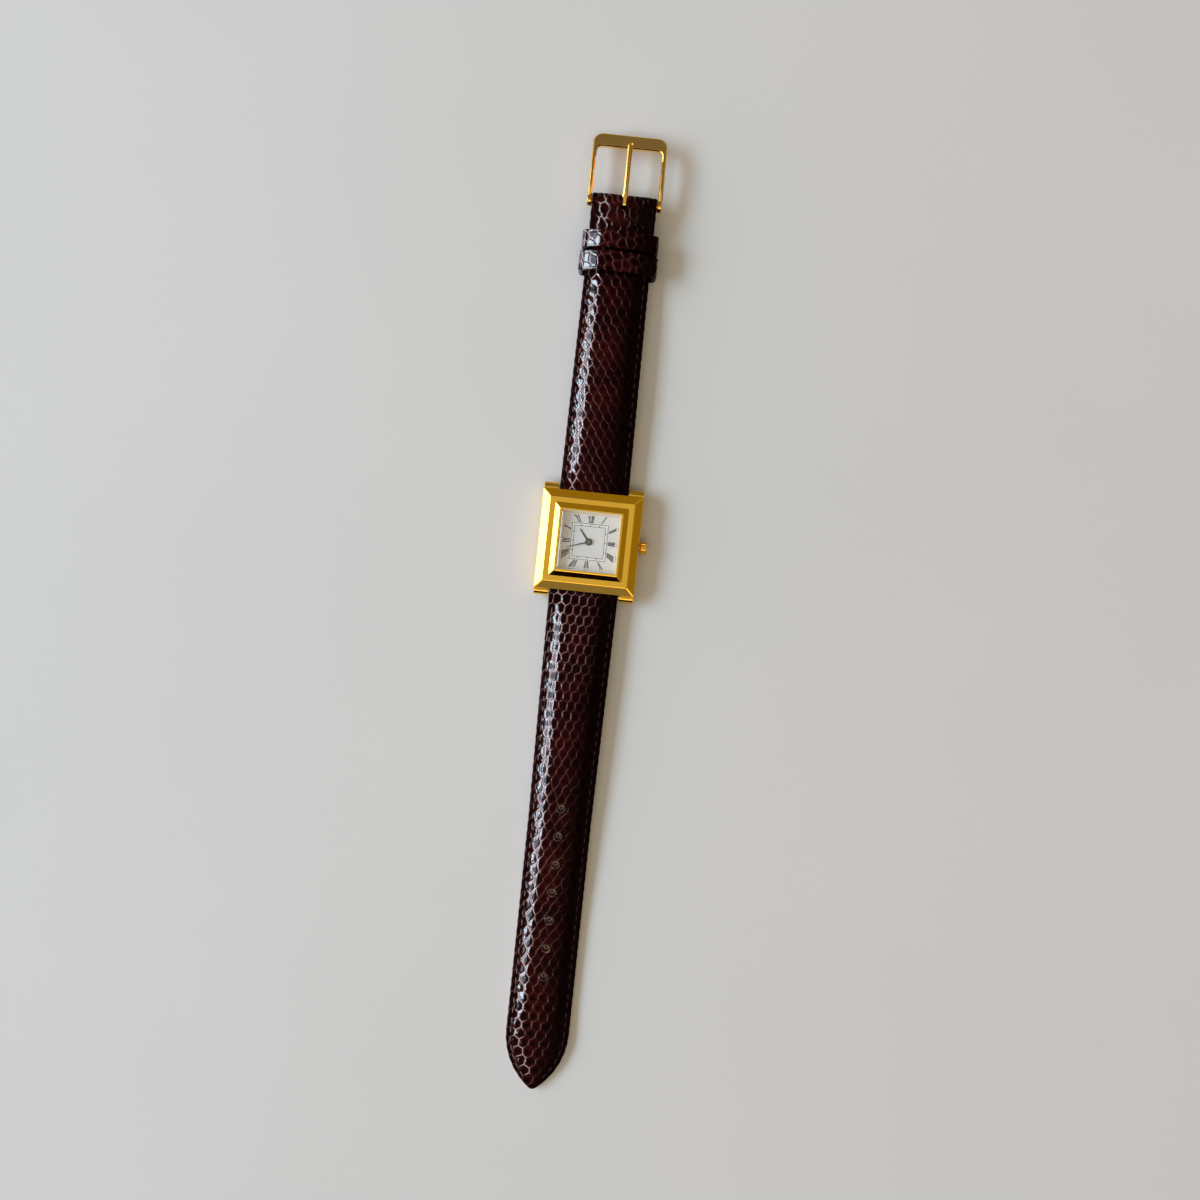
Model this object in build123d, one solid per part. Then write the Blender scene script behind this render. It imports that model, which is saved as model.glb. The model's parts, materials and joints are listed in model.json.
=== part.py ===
from build123d import *
import math
import os

# A small square dress watch, 12 o'clock towards +Y and the crown towards +X.
# It lies dial up on a table at level 0, with the Z axis through its hands.

# Case, a stepped pyramid: side, outer bevel, terrace, inner bevel, rim
case_wall = 3.1
outer_bevel_run = 1.8
terrace_run = 1.2
inner_bevel_run = 1.15
side_top = 4.0
terrace_level = 4.9
rim_level = 5.6
edge_break = 0.07
corner_cut = 0.2
cavity_cut = 0.5

# Case back, let into the underside and standing proud of it
back_stand = 0.35
back_thickness = 0.8
back_rim = 0.9
back_wall = 0.55
back_cut = 0.55
back_fit = 0.05
back_chamfer = 0.2
opening_slot_width = 2.4
opening_slot_depth = 0.3

# Screws of the case back
screw_thread_radius = 0.4
screw_head_radius = 0.7
screw_head_depth = 0.3
screw_thread_depth = 1.5
screw_slot_width = 0.2
screw_slot_depth = 0.15
screw_inset_x = 0.95
screw_inset_y = 0.85

# Gasket under the case back
back_gasket_wall = 0.4
back_gasket_height = 0.4
back_gasket_inset = 0.2

# Crystal, its gasket and the opening below it
rim_wall = 0.4
crystal_thickness = 0.9
crystal_seat_level = 4.8
crystal_chamfer = 0.25
crystal_cut = 0.2
crystal_gasket_wall = 0.1
crystal_gasket_height = 0.65
crystal_ledge = 0.1
opening_slope_run = 0.25

# Dial
dial_gap = 0.4
dial_thickness = 0.4
dial_level = 3.9
dial_cut = 0.2
dial_hole_radius = 0.78
dial_foot_radius = 0.3
dial_foot_length = 0.9
dial_foot_fit = 0.03
dial_foot_places = ((5.4, -5.8), (-5.6, 1.2))

# Lugs, knuckle shaped, and the spring bars between them
lug_gap = 16.0
knuckle_radius = 1.2
knuckle_chamfer = 0.12
bar_overhang = 0.3
bar_level = 2.0
bar_radius = 0.75
bar_end_gap = 0.1
bar_tip_radius = 0.4
bar_tip_length = 1.1
bar_tip_fit = 0.05

# Crown, tube and stem
stem_level = 2.2
crown_radius = 1.45
crown_length = 1.6
crown_gap = 0.15
crown_neck_radius = 1.05
crown_cone_length = 0.4
crown_nose_radius = 1.2
crown_nose_length = 0.2
crown_ridges = 18
crown_groove_share = 0.1
crown_ridge_start_share = 0.28
crown_recess_radius = 1.0
crown_recess_depth = 0.8
tube_radius = 0.75
tube_reach = 0.7
stem_radius = 0.45
stem_fit = 0.05
stem_thread_length = 0.5
crown_gasket_wall = 0.2
crown_gasket_length = 0.35
crown_gasket_set_back = 0.15

# Stem inside the movement, from its groove inwards
groove_centre_x = 5.3
groove_width = 0.4
groove_radius = 0.25
collar_length = 0.4
square_side = 0.56
square_length = 1.2
square_fit = 0.02
pilot_radius = 0.2
pilot_length = 0.5
clutch_length = 0.8
clutch_teeth = 12
clutch_module = 0.116
clutch_gap = 0.15
clutch_room = 0.15

# Setting lever
lever_arm = 1.6
lever_width = 0.7
lever_thickness = 0.15
lever_roof = 0.2
lever_pin_radius = 0.15
lever_pin_clear = 0.05
lever_pin_ahead = 0.08
lever_post_radius = 0.22
lever_post_fit = 0.04
lever_side_room = 0.35

# Movement
movement_width = 13.0
movement_length = 15.15
movement_cut = 0.4
movement_fit = 0.05
holder_wall = 0.425
plate_back_level = 1.35
floor_top = 2.95
floor_thickness = 0.2
holder_cut = 0.6
holder_fit = 0.05
stem_slot_room = 0.2

# Cell, a standard 6.8 mm by 1.65 mm button
cell_radius = 3.4
cell_thickness = 1.65
cell_x = -3.0
cell_y = -4.07
cell_room = 0.06
cell_lift = 0.05
cell_rim_radius = 2.6
cell_rim_step = 0.1
cell_chamfer = 0.15
clamp_thickness = 0.1
clamp_width = 0.9
clamp_reach = 2.4
clamp_foot_length = 0.9
clamp_foot_gap = 0.3

# Stepping motor
motor_pocket_left = -6.2
motor_pocket_right = 4.8
motor_pocket_front = 3.5
motor_pocket_back = 7.25
stator_low = 2.2
stator_thickness = 0.25
stator_strip_width = 1.0
stator_leg_width = 1.0
stator_margin = 0.15
stator_ring_wall = 0.3
rotor_gap = 0.1
rotor_radius = 0.5
rotor_magnet_length = 0.55
stator_post_radius = 0.35
core_width = 0.6
core_thickness = 0.25
coil_radius = 0.58
coil_end_radius = 0.65
coil_end_length = 0.25
coil_end_gap = 0.15
core_inset_y = 0.95

# Train, with its wheels' levels from the dial side down
arbor_radius = 0.1
pivot_fit = 0.03
wheel_thickness = 0.1
pinion_height = 0.3
train_level = 2.5
train_step = 0.4
train_room = 0.12
centre_teeth = 40
centre_module = 0.07
third_teeth = 24
third_module = 0.1
train_pinion_teeth = 8
intermediate_teeth = 36
rotor_pinion_teeth = 6
third_direction = 120
intermediate_direction = 140
rotor_direction = 150
bridge_thickness = 0.25
centre_post_radius = 0.15
centre_post_top = 4.15

# Motion works, between the main plate and the dial
motion_module = 0.1
cannon_teeth = 12
minute_teeth = 36
minute_pinion_teeth = 10
hour_teeth = 40
minute_direction = -50
motion_room = 0.08
motion_lift = 0.03
minute_wheel_thickness = 0.12
minute_pinion_height = 0.3
hour_wheel_lift = 0.25
hour_wheel_thickness = 0.15
cannon_radius = 0.38
cannon_bore = 0.2
cannon_sleeve_radius = 0.3
cannon_top = 4.33
floor_hole_radius = 0.36
hour_bore = 0.43
hour_pipe_radius = 0.62
hour_pipe_top = 4.1
minute_stud_radius = 0.2
minute_stud_fit = 0.04
addendum_share = 0.9
dedendum_share = 1.1
tooth_root_share = 0.33
tooth_tip_share = 0.13

# Hands, showing eighteen minutes to eleven
shown_hour = 10
shown_minute = 42
hour_hand_length = 3.5
hour_hand_foot = 0.5
hour_hand_tip = 0.24
hour_boss_radius = 0.78
hour_hand_low = 3.97
minute_hand_length = 5.1
minute_hand_foot = 0.32
minute_hand_tip = 0.12
minute_boss_radius = 0.68
minute_hand_low = 4.2
hand_thickness = 0.08
boss_thickness = 0.12

# Circuit
board_thickness = 0.15
board_left = 1.9
board_step_left = 2.4
board_step_y = -2.4
board_top_y = 3.0
board_edge = 0.25
chip_width = 1.4
chip_height = 0.25
chip_x = 3.8
chip_y = -4.9
can_radius = 0.55
can_x = 5.65
can_start_y = 1.3
can_length = 3.9
can_level = 1.95
can_room = 0.05
can_end_chamfer = 0.12

# Small screws of the movement
small_screw_radius = 0.25
small_screw_depth = 0.9
small_head_radius = 0.42
small_head_height = 0.15
bridge_screw_places = ((1.35, 2.1), (1.45, -1.45), (-3.6, 0.9))
bridge_outline = (
    (2.1, -2.0),
    (2.1, 2.7),
    (-0.2, 3.3),
    (-2.6, 4.1),
    (-4.3, 3.9),
    (-4.3, 0.4),
    (-2.4, -0.45),
    (0.3, -2.0),
)

# Strap halves
strap_side_gap = 0.275
lug_loop_radius = 1.55
lug_clearance = 0.2
strap_bore_fit = 0.06
strap_neck_half = 1.3
lining_thickness = 0.75
leather_thickness = 0.8
padding_margin = 2.3

# Long strap, on the 6 o'clock side
long_strap_length = 112.3
long_strap_tail_width = 14.15
long_taper_length = 51.0
tip_length = 12.8
tip_radius = 1.6
tip_shoulder_share = 0.55
tip_shoulder_width_share = 0.76
hole_count = 7
hole_pitch = 6.33
hole_radius = 0.72
last_hole_from_tip = 25.8
long_lift = 0.9
long_edge = 2.9
long_crown = 1.0
# Places along the strap from the bar to the tip, and the lift, edge height and crown there
long_place_shares = (0.03, 0.08, 0.2, 0.38, 0.56, 0.68, 0.85, 1.0)
long_lift_shares = (0.55, 0.75, 1.0, 0.85, 0.35, 0.0, 0.0, 0.0)
long_edge_shares = (1.0, 0.95, 0.86, 0.78, 0.7, 0.65, 0.6, 0.55)
long_crown_shares = (0.55, 0.9, 1.0, 0.8, 0.5, 0.4, 0.3, 0.2)

# Short strap, on the 12 o'clock side, with a fold round the buckle's bar
short_strap_length = 66.5
short_strap_end_width = 14.5
short_taper_length = 52.0
fold_radius = 1.75
buckle_bar_level = 3.4
buckle_bar_radius = 0.7
buckle_bore_fit = 0.08
fold_neck_half = 1.5
tongue_slot_width = 2.1
tongue_slot_length = 3.6
short_lift = 1.4
short_edge = 2.9
short_crown = 1.0
short_place_shares = (0.05, 0.14, 0.35, 0.6, 0.75, 0.86, 0.94, 1.0)
short_lift_shares = (0.36, 0.57, 0.93, 1.0, 0.92, 0.9, 1.07, 1.36)
short_edge_shares = (1.0, 0.95, 0.86, 0.78, 0.72, 0.7, 0.83, 1.03)
short_crown_shares = (0.55, 0.9, 1.0, 0.7, 0.4, 0.3, 0.2, 0.1)

# Keepers, two loops of leather round the short strap
keeper_leather = 1.05
keeper_inner_height = 4.7
keeper_corner = 1.45
keeper_crown = 0.35
fixed_keeper_side_gap = 0.225
fixed_keeper_length = 4.0
fixed_keeper_from_end = 8.7
free_keeper_side_gap = 0.45
free_keeper_length = 4.4
keeper_spacing = 0.7

# Buckle
buckle_side_gap = 0.1
buckle_arm_width = 1.0
buckle_reach = 13.4
buckle_plate = 3.0
buckle_corner = 2.3
buckle_inner_corner = 1.2
buckle_thickness = 1.5
buckle_eye_radius = 1.3
buckle_arch = 0.65
buckle_plate_drop = 0.3
buckle_chamfer = 0.25
buckle_eye_chamfer = 0.15
notch_radius = 0.7
notch_depth = 0.45
bar_head_recess = 0.05
tongue_width = 1.15
tongue_thickness = 0.9
tongue_curl_radius = 1.25
tongue_curl_width = 1.6
tongue_fit = 0.06
tongue_overlap = 0.95
tongue_rise = 0.7
tongue_seat = 0.12
# Where the tongue's arch peaks and where it bends down, along its length
tongue_peak_share = 0.42
tongue_bend_share = 0.7

overrun = 0.5

# Sizes that follow from the ones above
cavity_width = movement_length + 2 * (movement_fit + holder_wall + holder_fit)
case_width = cavity_width + 2 * case_wall
terrace_width = case_width - 2 * outer_bevel_run
terrace_inner_width = terrace_width - 2 * terrace_run
rim_width = terrace_inner_width - 2 * inner_bevel_run
crystal_width = rim_width - 2 * (rim_wall + crystal_gasket_wall)
opening_top_width = crystal_width - 2 * crystal_ledge
dial_opening_width = opening_top_width - 2 * opening_slope_run
dial_width = cavity_width - 2 * dial_gap
case_side = case_width / 2
bar_y = case_side + bar_overhang
recess_radius = lug_loop_radius + lug_clearance
recess_wall_y = case_side - (recess_radius - bar_overhang)
back_width = case_width - 2 * back_rim
back_length = 2 * (recess_wall_y - back_wall)
strap_lug_width = lug_gap - 2 * strap_side_gap
fixed_keeper_inner_width = short_strap_end_width + 2 * fixed_keeper_side_gap
free_keeper_inner_width = short_strap_end_width + 2 * free_keeper_side_gap
buckle_inner_width = short_strap_end_width + 2 * buckle_side_gap
buckle_width = buckle_inner_width + 2 * buckle_arm_width
movement_top = dial_level - dial_thickness
floor_low = floor_top - floor_thickness
cell_low = plate_back_level - cell_thickness + (floor_low - plate_back_level) - cell_lift
motion_level = floor_top + motion_lift
stator_top = stator_low + stator_thickness
core_y = motor_pocket_back - core_inset_y
third_level = train_level - train_step
intermediate_level = third_level - train_step
short_end_y = case_side + short_strap_length
buckle_bar_y = short_end_y - fold_radius
long_tip_y = -(case_side + long_strap_length)
square_end_x = groove_centre_x - groove_width / 2 - collar_length
square_start_x = square_end_x - square_length
clutch_end_x = square_end_x - clutch_gap
clutch_start_x = clutch_end_x - clutch_length
clutch_radius = clutch_module * (clutch_teeth / 2 + addendum_share)
lever_pivot_y = lever_pin_ahead - lever_arm
lever_low = movement_top - lever_roof - lever_thickness


def polar(distance, degrees, x=0, y=0):
    """The point at a distance and direction from another point."""
    angle = math.radians(degrees)
    return x + distance * math.cos(angle), y + distance * math.sin(angle)


third_place = polar(
    (centre_teeth + train_pinion_teeth) * centre_module / 2, third_direction
)
intermediate_place = polar(
    (third_teeth + train_pinion_teeth) * third_module / 2,
    intermediate_direction,
    *third_place,
)
rotor_place = polar(
    (intermediate_teeth + rotor_pinion_teeth) * centre_module / 2,
    rotor_direction,
    *intermediate_place,
)
minute_place = polar(
    (cannon_teeth + minute_teeth) * motion_module / 2, minute_direction
)
# The second pair of the motion works shares the first pair's distance
hour_module = (
    motion_module * (cannon_teeth + minute_teeth) / (minute_pinion_teeth + hour_teeth)
)


def save(name, *solids):
    """Writes one node, of one solid or a group of like ones."""
    shape = solids[0] if len(solids) == 1 else Compound(children=list(solids))
    export_step(shape, f"parts/{name}.step")


def cut_rectangle(width, length, cut):
    """A rectangle with its corners cut off."""
    return chamfer(Rectangle(width, length).vertices(), cut)


def slab(width, length, low, high, cut):
    """A block centred on the Z axis between two levels, its upright edges cut off."""
    return Pos(0, 0, low) * extrude(cut_rectangle(width, length, cut), high - low)


def block(left, right, front, back, low, high):
    """A block between two values of each coordinate."""
    centre = ((left + right) / 2, (front + back) / 2, (low + high) / 2)
    return Pos(*centre) * Box(right - left, back - front, high - low)


def leaning_block(low_width, high_width, low, high):
    """A square block, its corners cut off, whose sides lean from one width to the other."""
    foot = Pos(0, 0, low) * cut_rectangle(low_width, low_width, corner_cut)
    head = Pos(0, 0, high) * cut_rectangle(high_width, high_width, corner_cut)
    return loft([foot, head], ruled=True)


def upright(radius, low, high, x=0, y=0):
    """A round post between two levels."""
    return Pos(x, y, (low + high) / 2) * Cylinder(radius, high - low)


def along_x(radius, start, end, y, z):
    """A round rod along X."""
    return Pos((start + end) / 2, y, z) * Rot(0, 90, 0) * Cylinder(radius, end - start)


def along_y(radius, start, end, x, z):
    """A round rod along Y."""
    return Pos(x, (start + end) / 2, z) * Rot(90, 0, 0) * Cylinder(radius, end - start)


def toothed(teeth, module, low, high, place=(0, 0), aim=0, gap=False):
    """A spur wheel with a tooth, or a gap, centred on the direction aim."""
    pitch_radius = teeth * module / 2
    tip = pitch_radius + addendum_share * module
    root = pitch_radius - dedendum_share * module
    step = 360 / teeth
    start = aim + (step / 2 if gap else 0)
    corners = (
        (root, -tooth_root_share),
        (tip, -tooth_tip_share),
        (tip, tooth_tip_share),
        (root, tooth_root_share),
    )
    points = [
        polar(radius, start + step * (tooth + share))
        for tooth in range(teeth)
        for radius, share in corners
    ]
    face = make_face(Polyline(*points, close=True))
    return Pos(*place, low) * extrude(face, high - low)


def make_case_middle():
    outer_slope = (terrace_level - side_top) / outer_bevel_run
    inner_slope = (rim_level - terrace_level) / inner_bevel_run
    # Widths and levels of the outside, from the foot up, with its edges broken
    steps = (
        (case_width - 2 * edge_break, back_stand),
        (case_width, back_stand + edge_break),
        (case_width, side_top - edge_break),
        (case_width - 2 * edge_break, side_top + edge_break * outer_slope),
        (terrace_width + 2 * edge_break, terrace_level - edge_break * outer_slope),
        (terrace_width - 2 * edge_break, terrace_level),
        (terrace_inner_width, terrace_level),
        (rim_width + 2 * edge_break, rim_level - edge_break * inner_slope),
        (rim_width - 2 * edge_break, rim_level),
    )
    blocks = [
        leaning_block(low_width, high_width, low, high)
        for (low_width, low), (high_width, high) in zip(steps, steps[1:])
        if high > low
    ]
    case = blocks[0].fuse(*blocks[1:])

    for side in (-1, 1):
        walls = sorted((side * recess_wall_y, side * (case_side + overrun)))
        case -= block(-lug_gap / 2, lug_gap / 2, *walls, back_stand - overrun, bar_level)
        case -= along_x(recess_radius, -lug_gap / 2, lug_gap / 2, side * bar_y, bar_level)
        for end in (-1, 1):
            reach = sorted((end * lug_gap / 2, end * case_side))
            knuckle = along_x(knuckle_radius, *reach, side * bar_y, bar_level)
            ends = knuckle.edges().filter_by(GeomType.CIRCLE).sort_by(Axis.X)
            knuckle = chamfer(ends[-1 if end > 0 else 0], knuckle_chamfer)
            hole = sorted(
                (
                    end * (lug_gap / 2 - overrun),
                    end * (lug_gap / 2 + bar_tip_length + bar_tip_fit),
                )
            )
            case += knuckle
            case -= along_x(
                bar_tip_radius + bar_tip_fit, *hole, side * bar_y, bar_level
            )

    case -= slab(cavity_width, cavity_width, back_stand - overrun, dial_level, cavity_cut)
    case -= leaning_block(
        dial_opening_width, opening_top_width, dial_level, crystal_seat_level
    )
    pocket = crystal_width + 2 * crystal_gasket_wall
    case -= slab(
        pocket, pocket, crystal_seat_level, rim_level + overrun, crystal_cut
    )
    case -= slab(
        back_width + 2 * back_fit,
        back_length + 2 * back_fit,
        back_stand - overrun,
        back_thickness,
        back_cut,
    )
    case -= gasket_ring()
    for x, y in screw_places():
        case -= upright(
            screw_thread_radius,
            back_thickness - overrun,
            back_thickness + screw_thread_depth,
            x,
            y,
        )
    case -= along_x(tube_radius, cavity_width / 2 - overrun, case_side + overrun, 0, stem_level)
    return case


def screw_places():
    """The four screws, inside the corners of the case back."""
    x = back_width / 2 - screw_inset_x
    y = back_length / 2 - screw_inset_y
    return [(sx * x, sy * y) for sx in (-1, 1) for sy in (-1, 1)]


def gasket_ring():
    """The square ring that seals the case back, in its groove."""
    inner = cavity_width + 2 * back_gasket_inset
    outer = inner + 2 * back_gasket_wall
    top = back_thickness + back_gasket_height
    ring = slab(outer, outer, back_thickness, top, cavity_cut)
    return ring - slab(inner, inner, back_thickness, top, cavity_cut)


def make_case_back():
    back = slab(back_width, back_length, 0, back_thickness, back_cut)
    back = chamfer(back.faces().sort_by(Axis.Z)[0].edges(), back_chamfer)
    slot_y = -back_length / 2
    back -= block(
        -opening_slot_width / 2,
        opening_slot_width / 2,
        slot_y - overrun,
        slot_y + back_chamfer * 2,
        -overrun,
        opening_slot_depth,
    )
    for x, y in screw_places():
        back -= upright(screw_head_radius + back_fit, -overrun, screw_head_depth, x, y)
        back -= upright(screw_thread_radius + back_fit, 0, back_thickness + overrun, x, y)
    return back


def make_back_screw(x, y):
    head_low = screw_slot_depth / 2
    screw = upright(screw_head_radius, head_low, screw_head_depth, x, y)
    screw += upright(
        screw_thread_radius, screw_head_depth, back_thickness + screw_thread_depth, x, y
    )
    reach = screw_head_radius + overrun
    half = screw_slot_width / 2
    return screw - block(
        x - reach, x + reach, y - half, y + half, head_low - overrun, head_low + screw_slot_depth
    )


def make_crystal():
    top = crystal_seat_level + crystal_thickness
    crystal = slab(crystal_width, crystal_width, crystal_seat_level, top, crystal_cut)
    return chamfer(crystal.faces().sort_by(Axis.Z)[-1].edges(), crystal_chamfer)


def make_crystal_gasket():
    top = crystal_seat_level + crystal_gasket_height
    outer = crystal_width + 2 * crystal_gasket_wall
    ring = slab(outer, outer, crystal_seat_level, top, crystal_cut)
    return ring - slab(crystal_width, crystal_width, crystal_seat_level, top, crystal_cut)


def make_dial():
    dial = slab(dial_width, dial_width, movement_top, dial_level, dial_cut)
    for x, y in dial_foot_places:
        dial += upright(dial_foot_radius, movement_top - dial_foot_length, movement_top, x, y)
    return dial - upright(dial_hole_radius, movement_top - overrun, dial_level + overrun)


def make_spring_bar(side):
    y = side * bar_y
    half = lug_gap / 2 - bar_end_gap
    bar = along_x(bar_radius, -half, half, y, bar_level)
    tip = lug_gap / 2 + bar_tip_length
    bar += along_x(bar_tip_radius, -tip, tip, y, bar_level)
    return bar


def make_crown():
    start = case_side + crown_gap
    end = start + crown_length
    # Places and radii along the crown: its neck, the ends of its ridges and its nose
    stations = (
        (start, crown_neck_radius),
        (start + crown_cone_length, crown_radius),
        (end - crown_nose_length, crown_radius),
        (end, crown_nose_radius),
    )
    crown = loft([Pos(x, 0, 0) * ridged_face(radius) for x, radius in stations], ruled=True)
    crown -= along_x(crown_recess_radius, start - overrun, start + crown_recess_depth, 0, 0)
    bore_end = start + crown_recess_depth + stem_thread_length
    crown -= along_x(stem_radius, start, bore_end, 0, 0)
    return Pos(0, 0, stem_level) * crown


def ridged_face(radius):
    """A section across the crown, with a groove between each two of its ridges."""
    step = 360 / crown_ridges
    inner = radius * (1 - crown_groove_share)
    points = [
        point
        for ridge in range(crown_ridges)
        for point in (
            polar(inner, step * ridge),
            polar(radius, step * (ridge + crown_ridge_start_share)),
            polar(radius, step * (ridge + 1 - crown_ridge_start_share)),
        )
    ]
    return Plane.YZ * make_face(Polyline(*points, close=True))


def make_crown_tube():
    end = case_side + tube_reach
    tube = along_x(tube_radius, cavity_width / 2, end, 0, stem_level)
    return tube - along_x(
        stem_radius + stem_fit, cavity_width / 2 - overrun, end + overrun, 0, stem_level
    )


def make_crown_gasket():
    start = case_side + crown_gap + crown_gasket_set_back
    end = start + crown_gasket_length
    ring = along_x(crown_recess_radius, start, end, 0, stem_level)
    inner = crown_recess_radius - crown_gasket_wall
    return ring - along_x(inner, start - overrun, end + overrun, 0, stem_level)


def make_winding_stem():
    thread_end = case_side + crown_gap + crown_recess_depth + stem_thread_length
    groove_low = groove_centre_x - groove_width / 2
    groove_high = groove_centre_x + groove_width / 2
    stem = along_x(stem_radius, groove_high, thread_end, 0, stem_level)
    stem += along_x(groove_radius, groove_low, groove_high, 0, stem_level)
    stem += along_x(stem_radius, square_end_x, groove_low, 0, stem_level)
    half = square_side / 2
    stem += block(
        square_start_x, square_end_x, -half, half, stem_level - half, stem_level + half
    )
    stem += along_x(
        pilot_radius, square_start_x - pilot_length, square_start_x, 0, stem_level
    )
    return stem


def make_clutch_pinion():
    clutch = toothed(clutch_teeth, clutch_module, clutch_start_x, clutch_end_x)
    clutch = Pos(0, 0, stem_level) * Rot(0, 90, 0) * clutch
    half = square_side / 2 + square_fit
    clutch -= block(
        clutch_start_x - overrun,
        clutch_end_x + overrun,
        -half,
        half,
        stem_level - half,
        stem_level + half,
    )
    return clutch


def make_setting_lever():
    high = lever_low + lever_thickness
    half = lever_width / 2
    x, y = groove_centre_x, lever_pivot_y
    lever = block(x - half, x + half, y, y + lever_arm, lever_low, high)
    lever += upright(half, lever_low, high, x, y)
    lever += upright(half, lever_low, high, x, y + lever_arm)
    pin_low = stem_level + groove_radius + lever_pin_clear
    lever += upright(lever_pin_radius, pin_low, lever_low, x, y + lever_arm)
    return lever - upright(
        lever_post_radius + lever_post_fit, lever_low - overrun, high + overrun, x, y
    )


def make_main_plate():
    plate = slab(
        movement_width, movement_length, plate_back_level, movement_top, movement_cut
    )
    below = plate_back_level - overrun
    plate -= upright(cell_radius + cell_room, below, floor_low, cell_x, cell_y)
    plate -= block(
        motor_pocket_left,
        motor_pocket_right,
        motor_pocket_front,
        motor_pocket_back,
        below,
        floor_low,
    )
    # Posts that carry the stator
    for x in stator_leg_places():
        y = motor_pocket_front + stator_margin + stator_strip_width / 2
        plate += upright(stator_post_radius, stator_top, floor_low, x, y)
    rotor_room = rotor_radius + rotor_gap + stator_ring_wall + train_room
    rooms = (
        (centre_teeth * centre_module / 2, (0, 0)),
        (third_teeth * third_module / 2, third_place),
        (intermediate_teeth * centre_module / 2, intermediate_place),
        (rotor_room, rotor_place),
    )
    for radius, place in rooms:
        plate -= upright(radius + third_module + train_room, below, floor_low, *place)
    for place in (third_place, intermediate_place, rotor_place):
        plate -= upright(
            arbor_radius + pivot_fit, floor_low - overrun, floor_top + overrun, *place
        )
    # Motion works, let in from the dial side
    above = movement_top + overrun
    for teeth, module, place in (
        (hour_teeth, hour_module, (0, 0)),
        (minute_teeth, motion_module, minute_place),
    ):
        radius = teeth * module / 2 + module + motion_room
        plate -= upright(radius, floor_top, above, *place)
    plate -= upright(floor_hole_radius, floor_low - overrun, floor_top + overrun)
    plate += upright(
        minute_stud_radius,
        floor_low,
        motion_level + minute_wheel_thickness + minute_pinion_height,
        *minute_place,
    )
    # Stem, clutch and setting lever
    half_room = clutch_radius + clutch_room
    plate -= block(
        square_start_x - clutch_room,
        clutch_end_x + clutch_room,
        -half_room,
        half_room,
        below,
        stem_level + half_room,
    )
    plate -= along_x(
        stem_radius + stem_fit, clutch_end_x, movement_width / 2 + overrun, 0, stem_level
    )
    plate -= along_x(
        pilot_radius + stem_fit,
        square_start_x - pilot_length - stem_fit,
        square_start_x,
        0,
        stem_level,
    )
    side = lever_width / 2 + lever_side_room
    lever_floor = lever_low - lever_pin_clear
    plate -= block(
        groove_centre_x - side,
        movement_width / 2 + overrun,
        lever_pivot_y - side,
        lever_pin_ahead + side,
        lever_floor,
        above,
    )
    pin_room = lever_pin_radius + lever_side_room / 2
    plate -= block(
        groove_centre_x - pin_room,
        movement_width / 2 + overrun,
        -pin_room,
        pin_room + lever_pin_ahead,
        stem_level,
        lever_floor,
    )
    plate += upright(
        lever_post_radius,
        lever_floor,
        lever_low + lever_thickness,
        groove_centre_x,
        lever_pivot_y,
    )
    # Timekeeping crystal, dial feet and screws
    can_room_radius = can_radius + can_room
    plate -= block(
        can_x - can_room_radius,
        can_x + can_room_radius,
        can_start_y - can_room,
        can_start_y + can_length + can_room,
        below,
        can_level + can_room_radius,
    )
    for x, y in dial_foot_places:
        plate -= upright(
            dial_foot_radius + dial_foot_fit,
            movement_top - dial_foot_length - dial_foot_fit,
            above,
            x,
            y,
        )
    for x, y in bridge_screw_places + (clamp_screw_place(),):
        plate -= upright(small_screw_radius, below, plate_back_level + small_screw_depth, x, y)
    return plate


def stator_leg_places():
    """The middles of the stator's two legs, along X."""
    inset = stator_margin + stator_leg_width / 2
    return motor_pocket_left + inset, motor_pocket_right - inset


def clamp_screw_place():
    """The screw beside the cell that holds its clamp."""
    return cell_x + cell_radius + clamp_foot_gap + clamp_foot_length / 2, cell_y


def make_train_bridge():
    high = plate_back_level
    low = high - bridge_thickness
    bridge = Pos(0, 0, low) * extrude(
        make_face(Polyline(*bridge_outline, close=True)), bridge_thickness
    )
    for place in (third_place, intermediate_place, rotor_place):
        bridge -= upright(arbor_radius + pivot_fit, low - overrun, high + overrun, *place)
    for place in bridge_screw_places:
        bridge -= upright(small_screw_radius, low - overrun, high + overrun, *place)
    return bridge + upright(centre_post_radius, high, centre_post_top)


def make_movement_screws():
    screws = []
    seats = [(place, plate_back_level - bridge_thickness) for place in bridge_screw_places]
    seats.append((clamp_screw_place(), cell_low - clamp_thickness))
    for place, seat in seats:
        screw = upright(small_head_radius, seat - small_head_height, seat, *place)
        screw += upright(
            small_screw_radius, seat, plate_back_level + small_screw_depth, *place
        )
        screws.append(screw)
    return screws


def make_movement_holder():
    outer = cavity_width - 2 * holder_fit
    holder = slab(outer, outer, back_thickness, movement_top, holder_cut)
    holder -= slab(
        movement_width + 2 * movement_fit,
        movement_length + 2 * movement_fit,
        back_thickness - overrun,
        movement_top + overrun,
        movement_cut,
    )
    return holder - along_x(stem_radius + stem_slot_room, 0, outer, 0, stem_level)


def make_battery_cell():
    high = cell_low + cell_thickness
    cell = upright(cell_radius, cell_low, high - cell_rim_step, cell_x, cell_y)
    cell = chamfer(cell.faces().sort_by(Axis.Z)[0].edges(), cell_chamfer)
    return cell + upright(cell_rim_radius, high - cell_rim_step, high, cell_x, cell_y)


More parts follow.
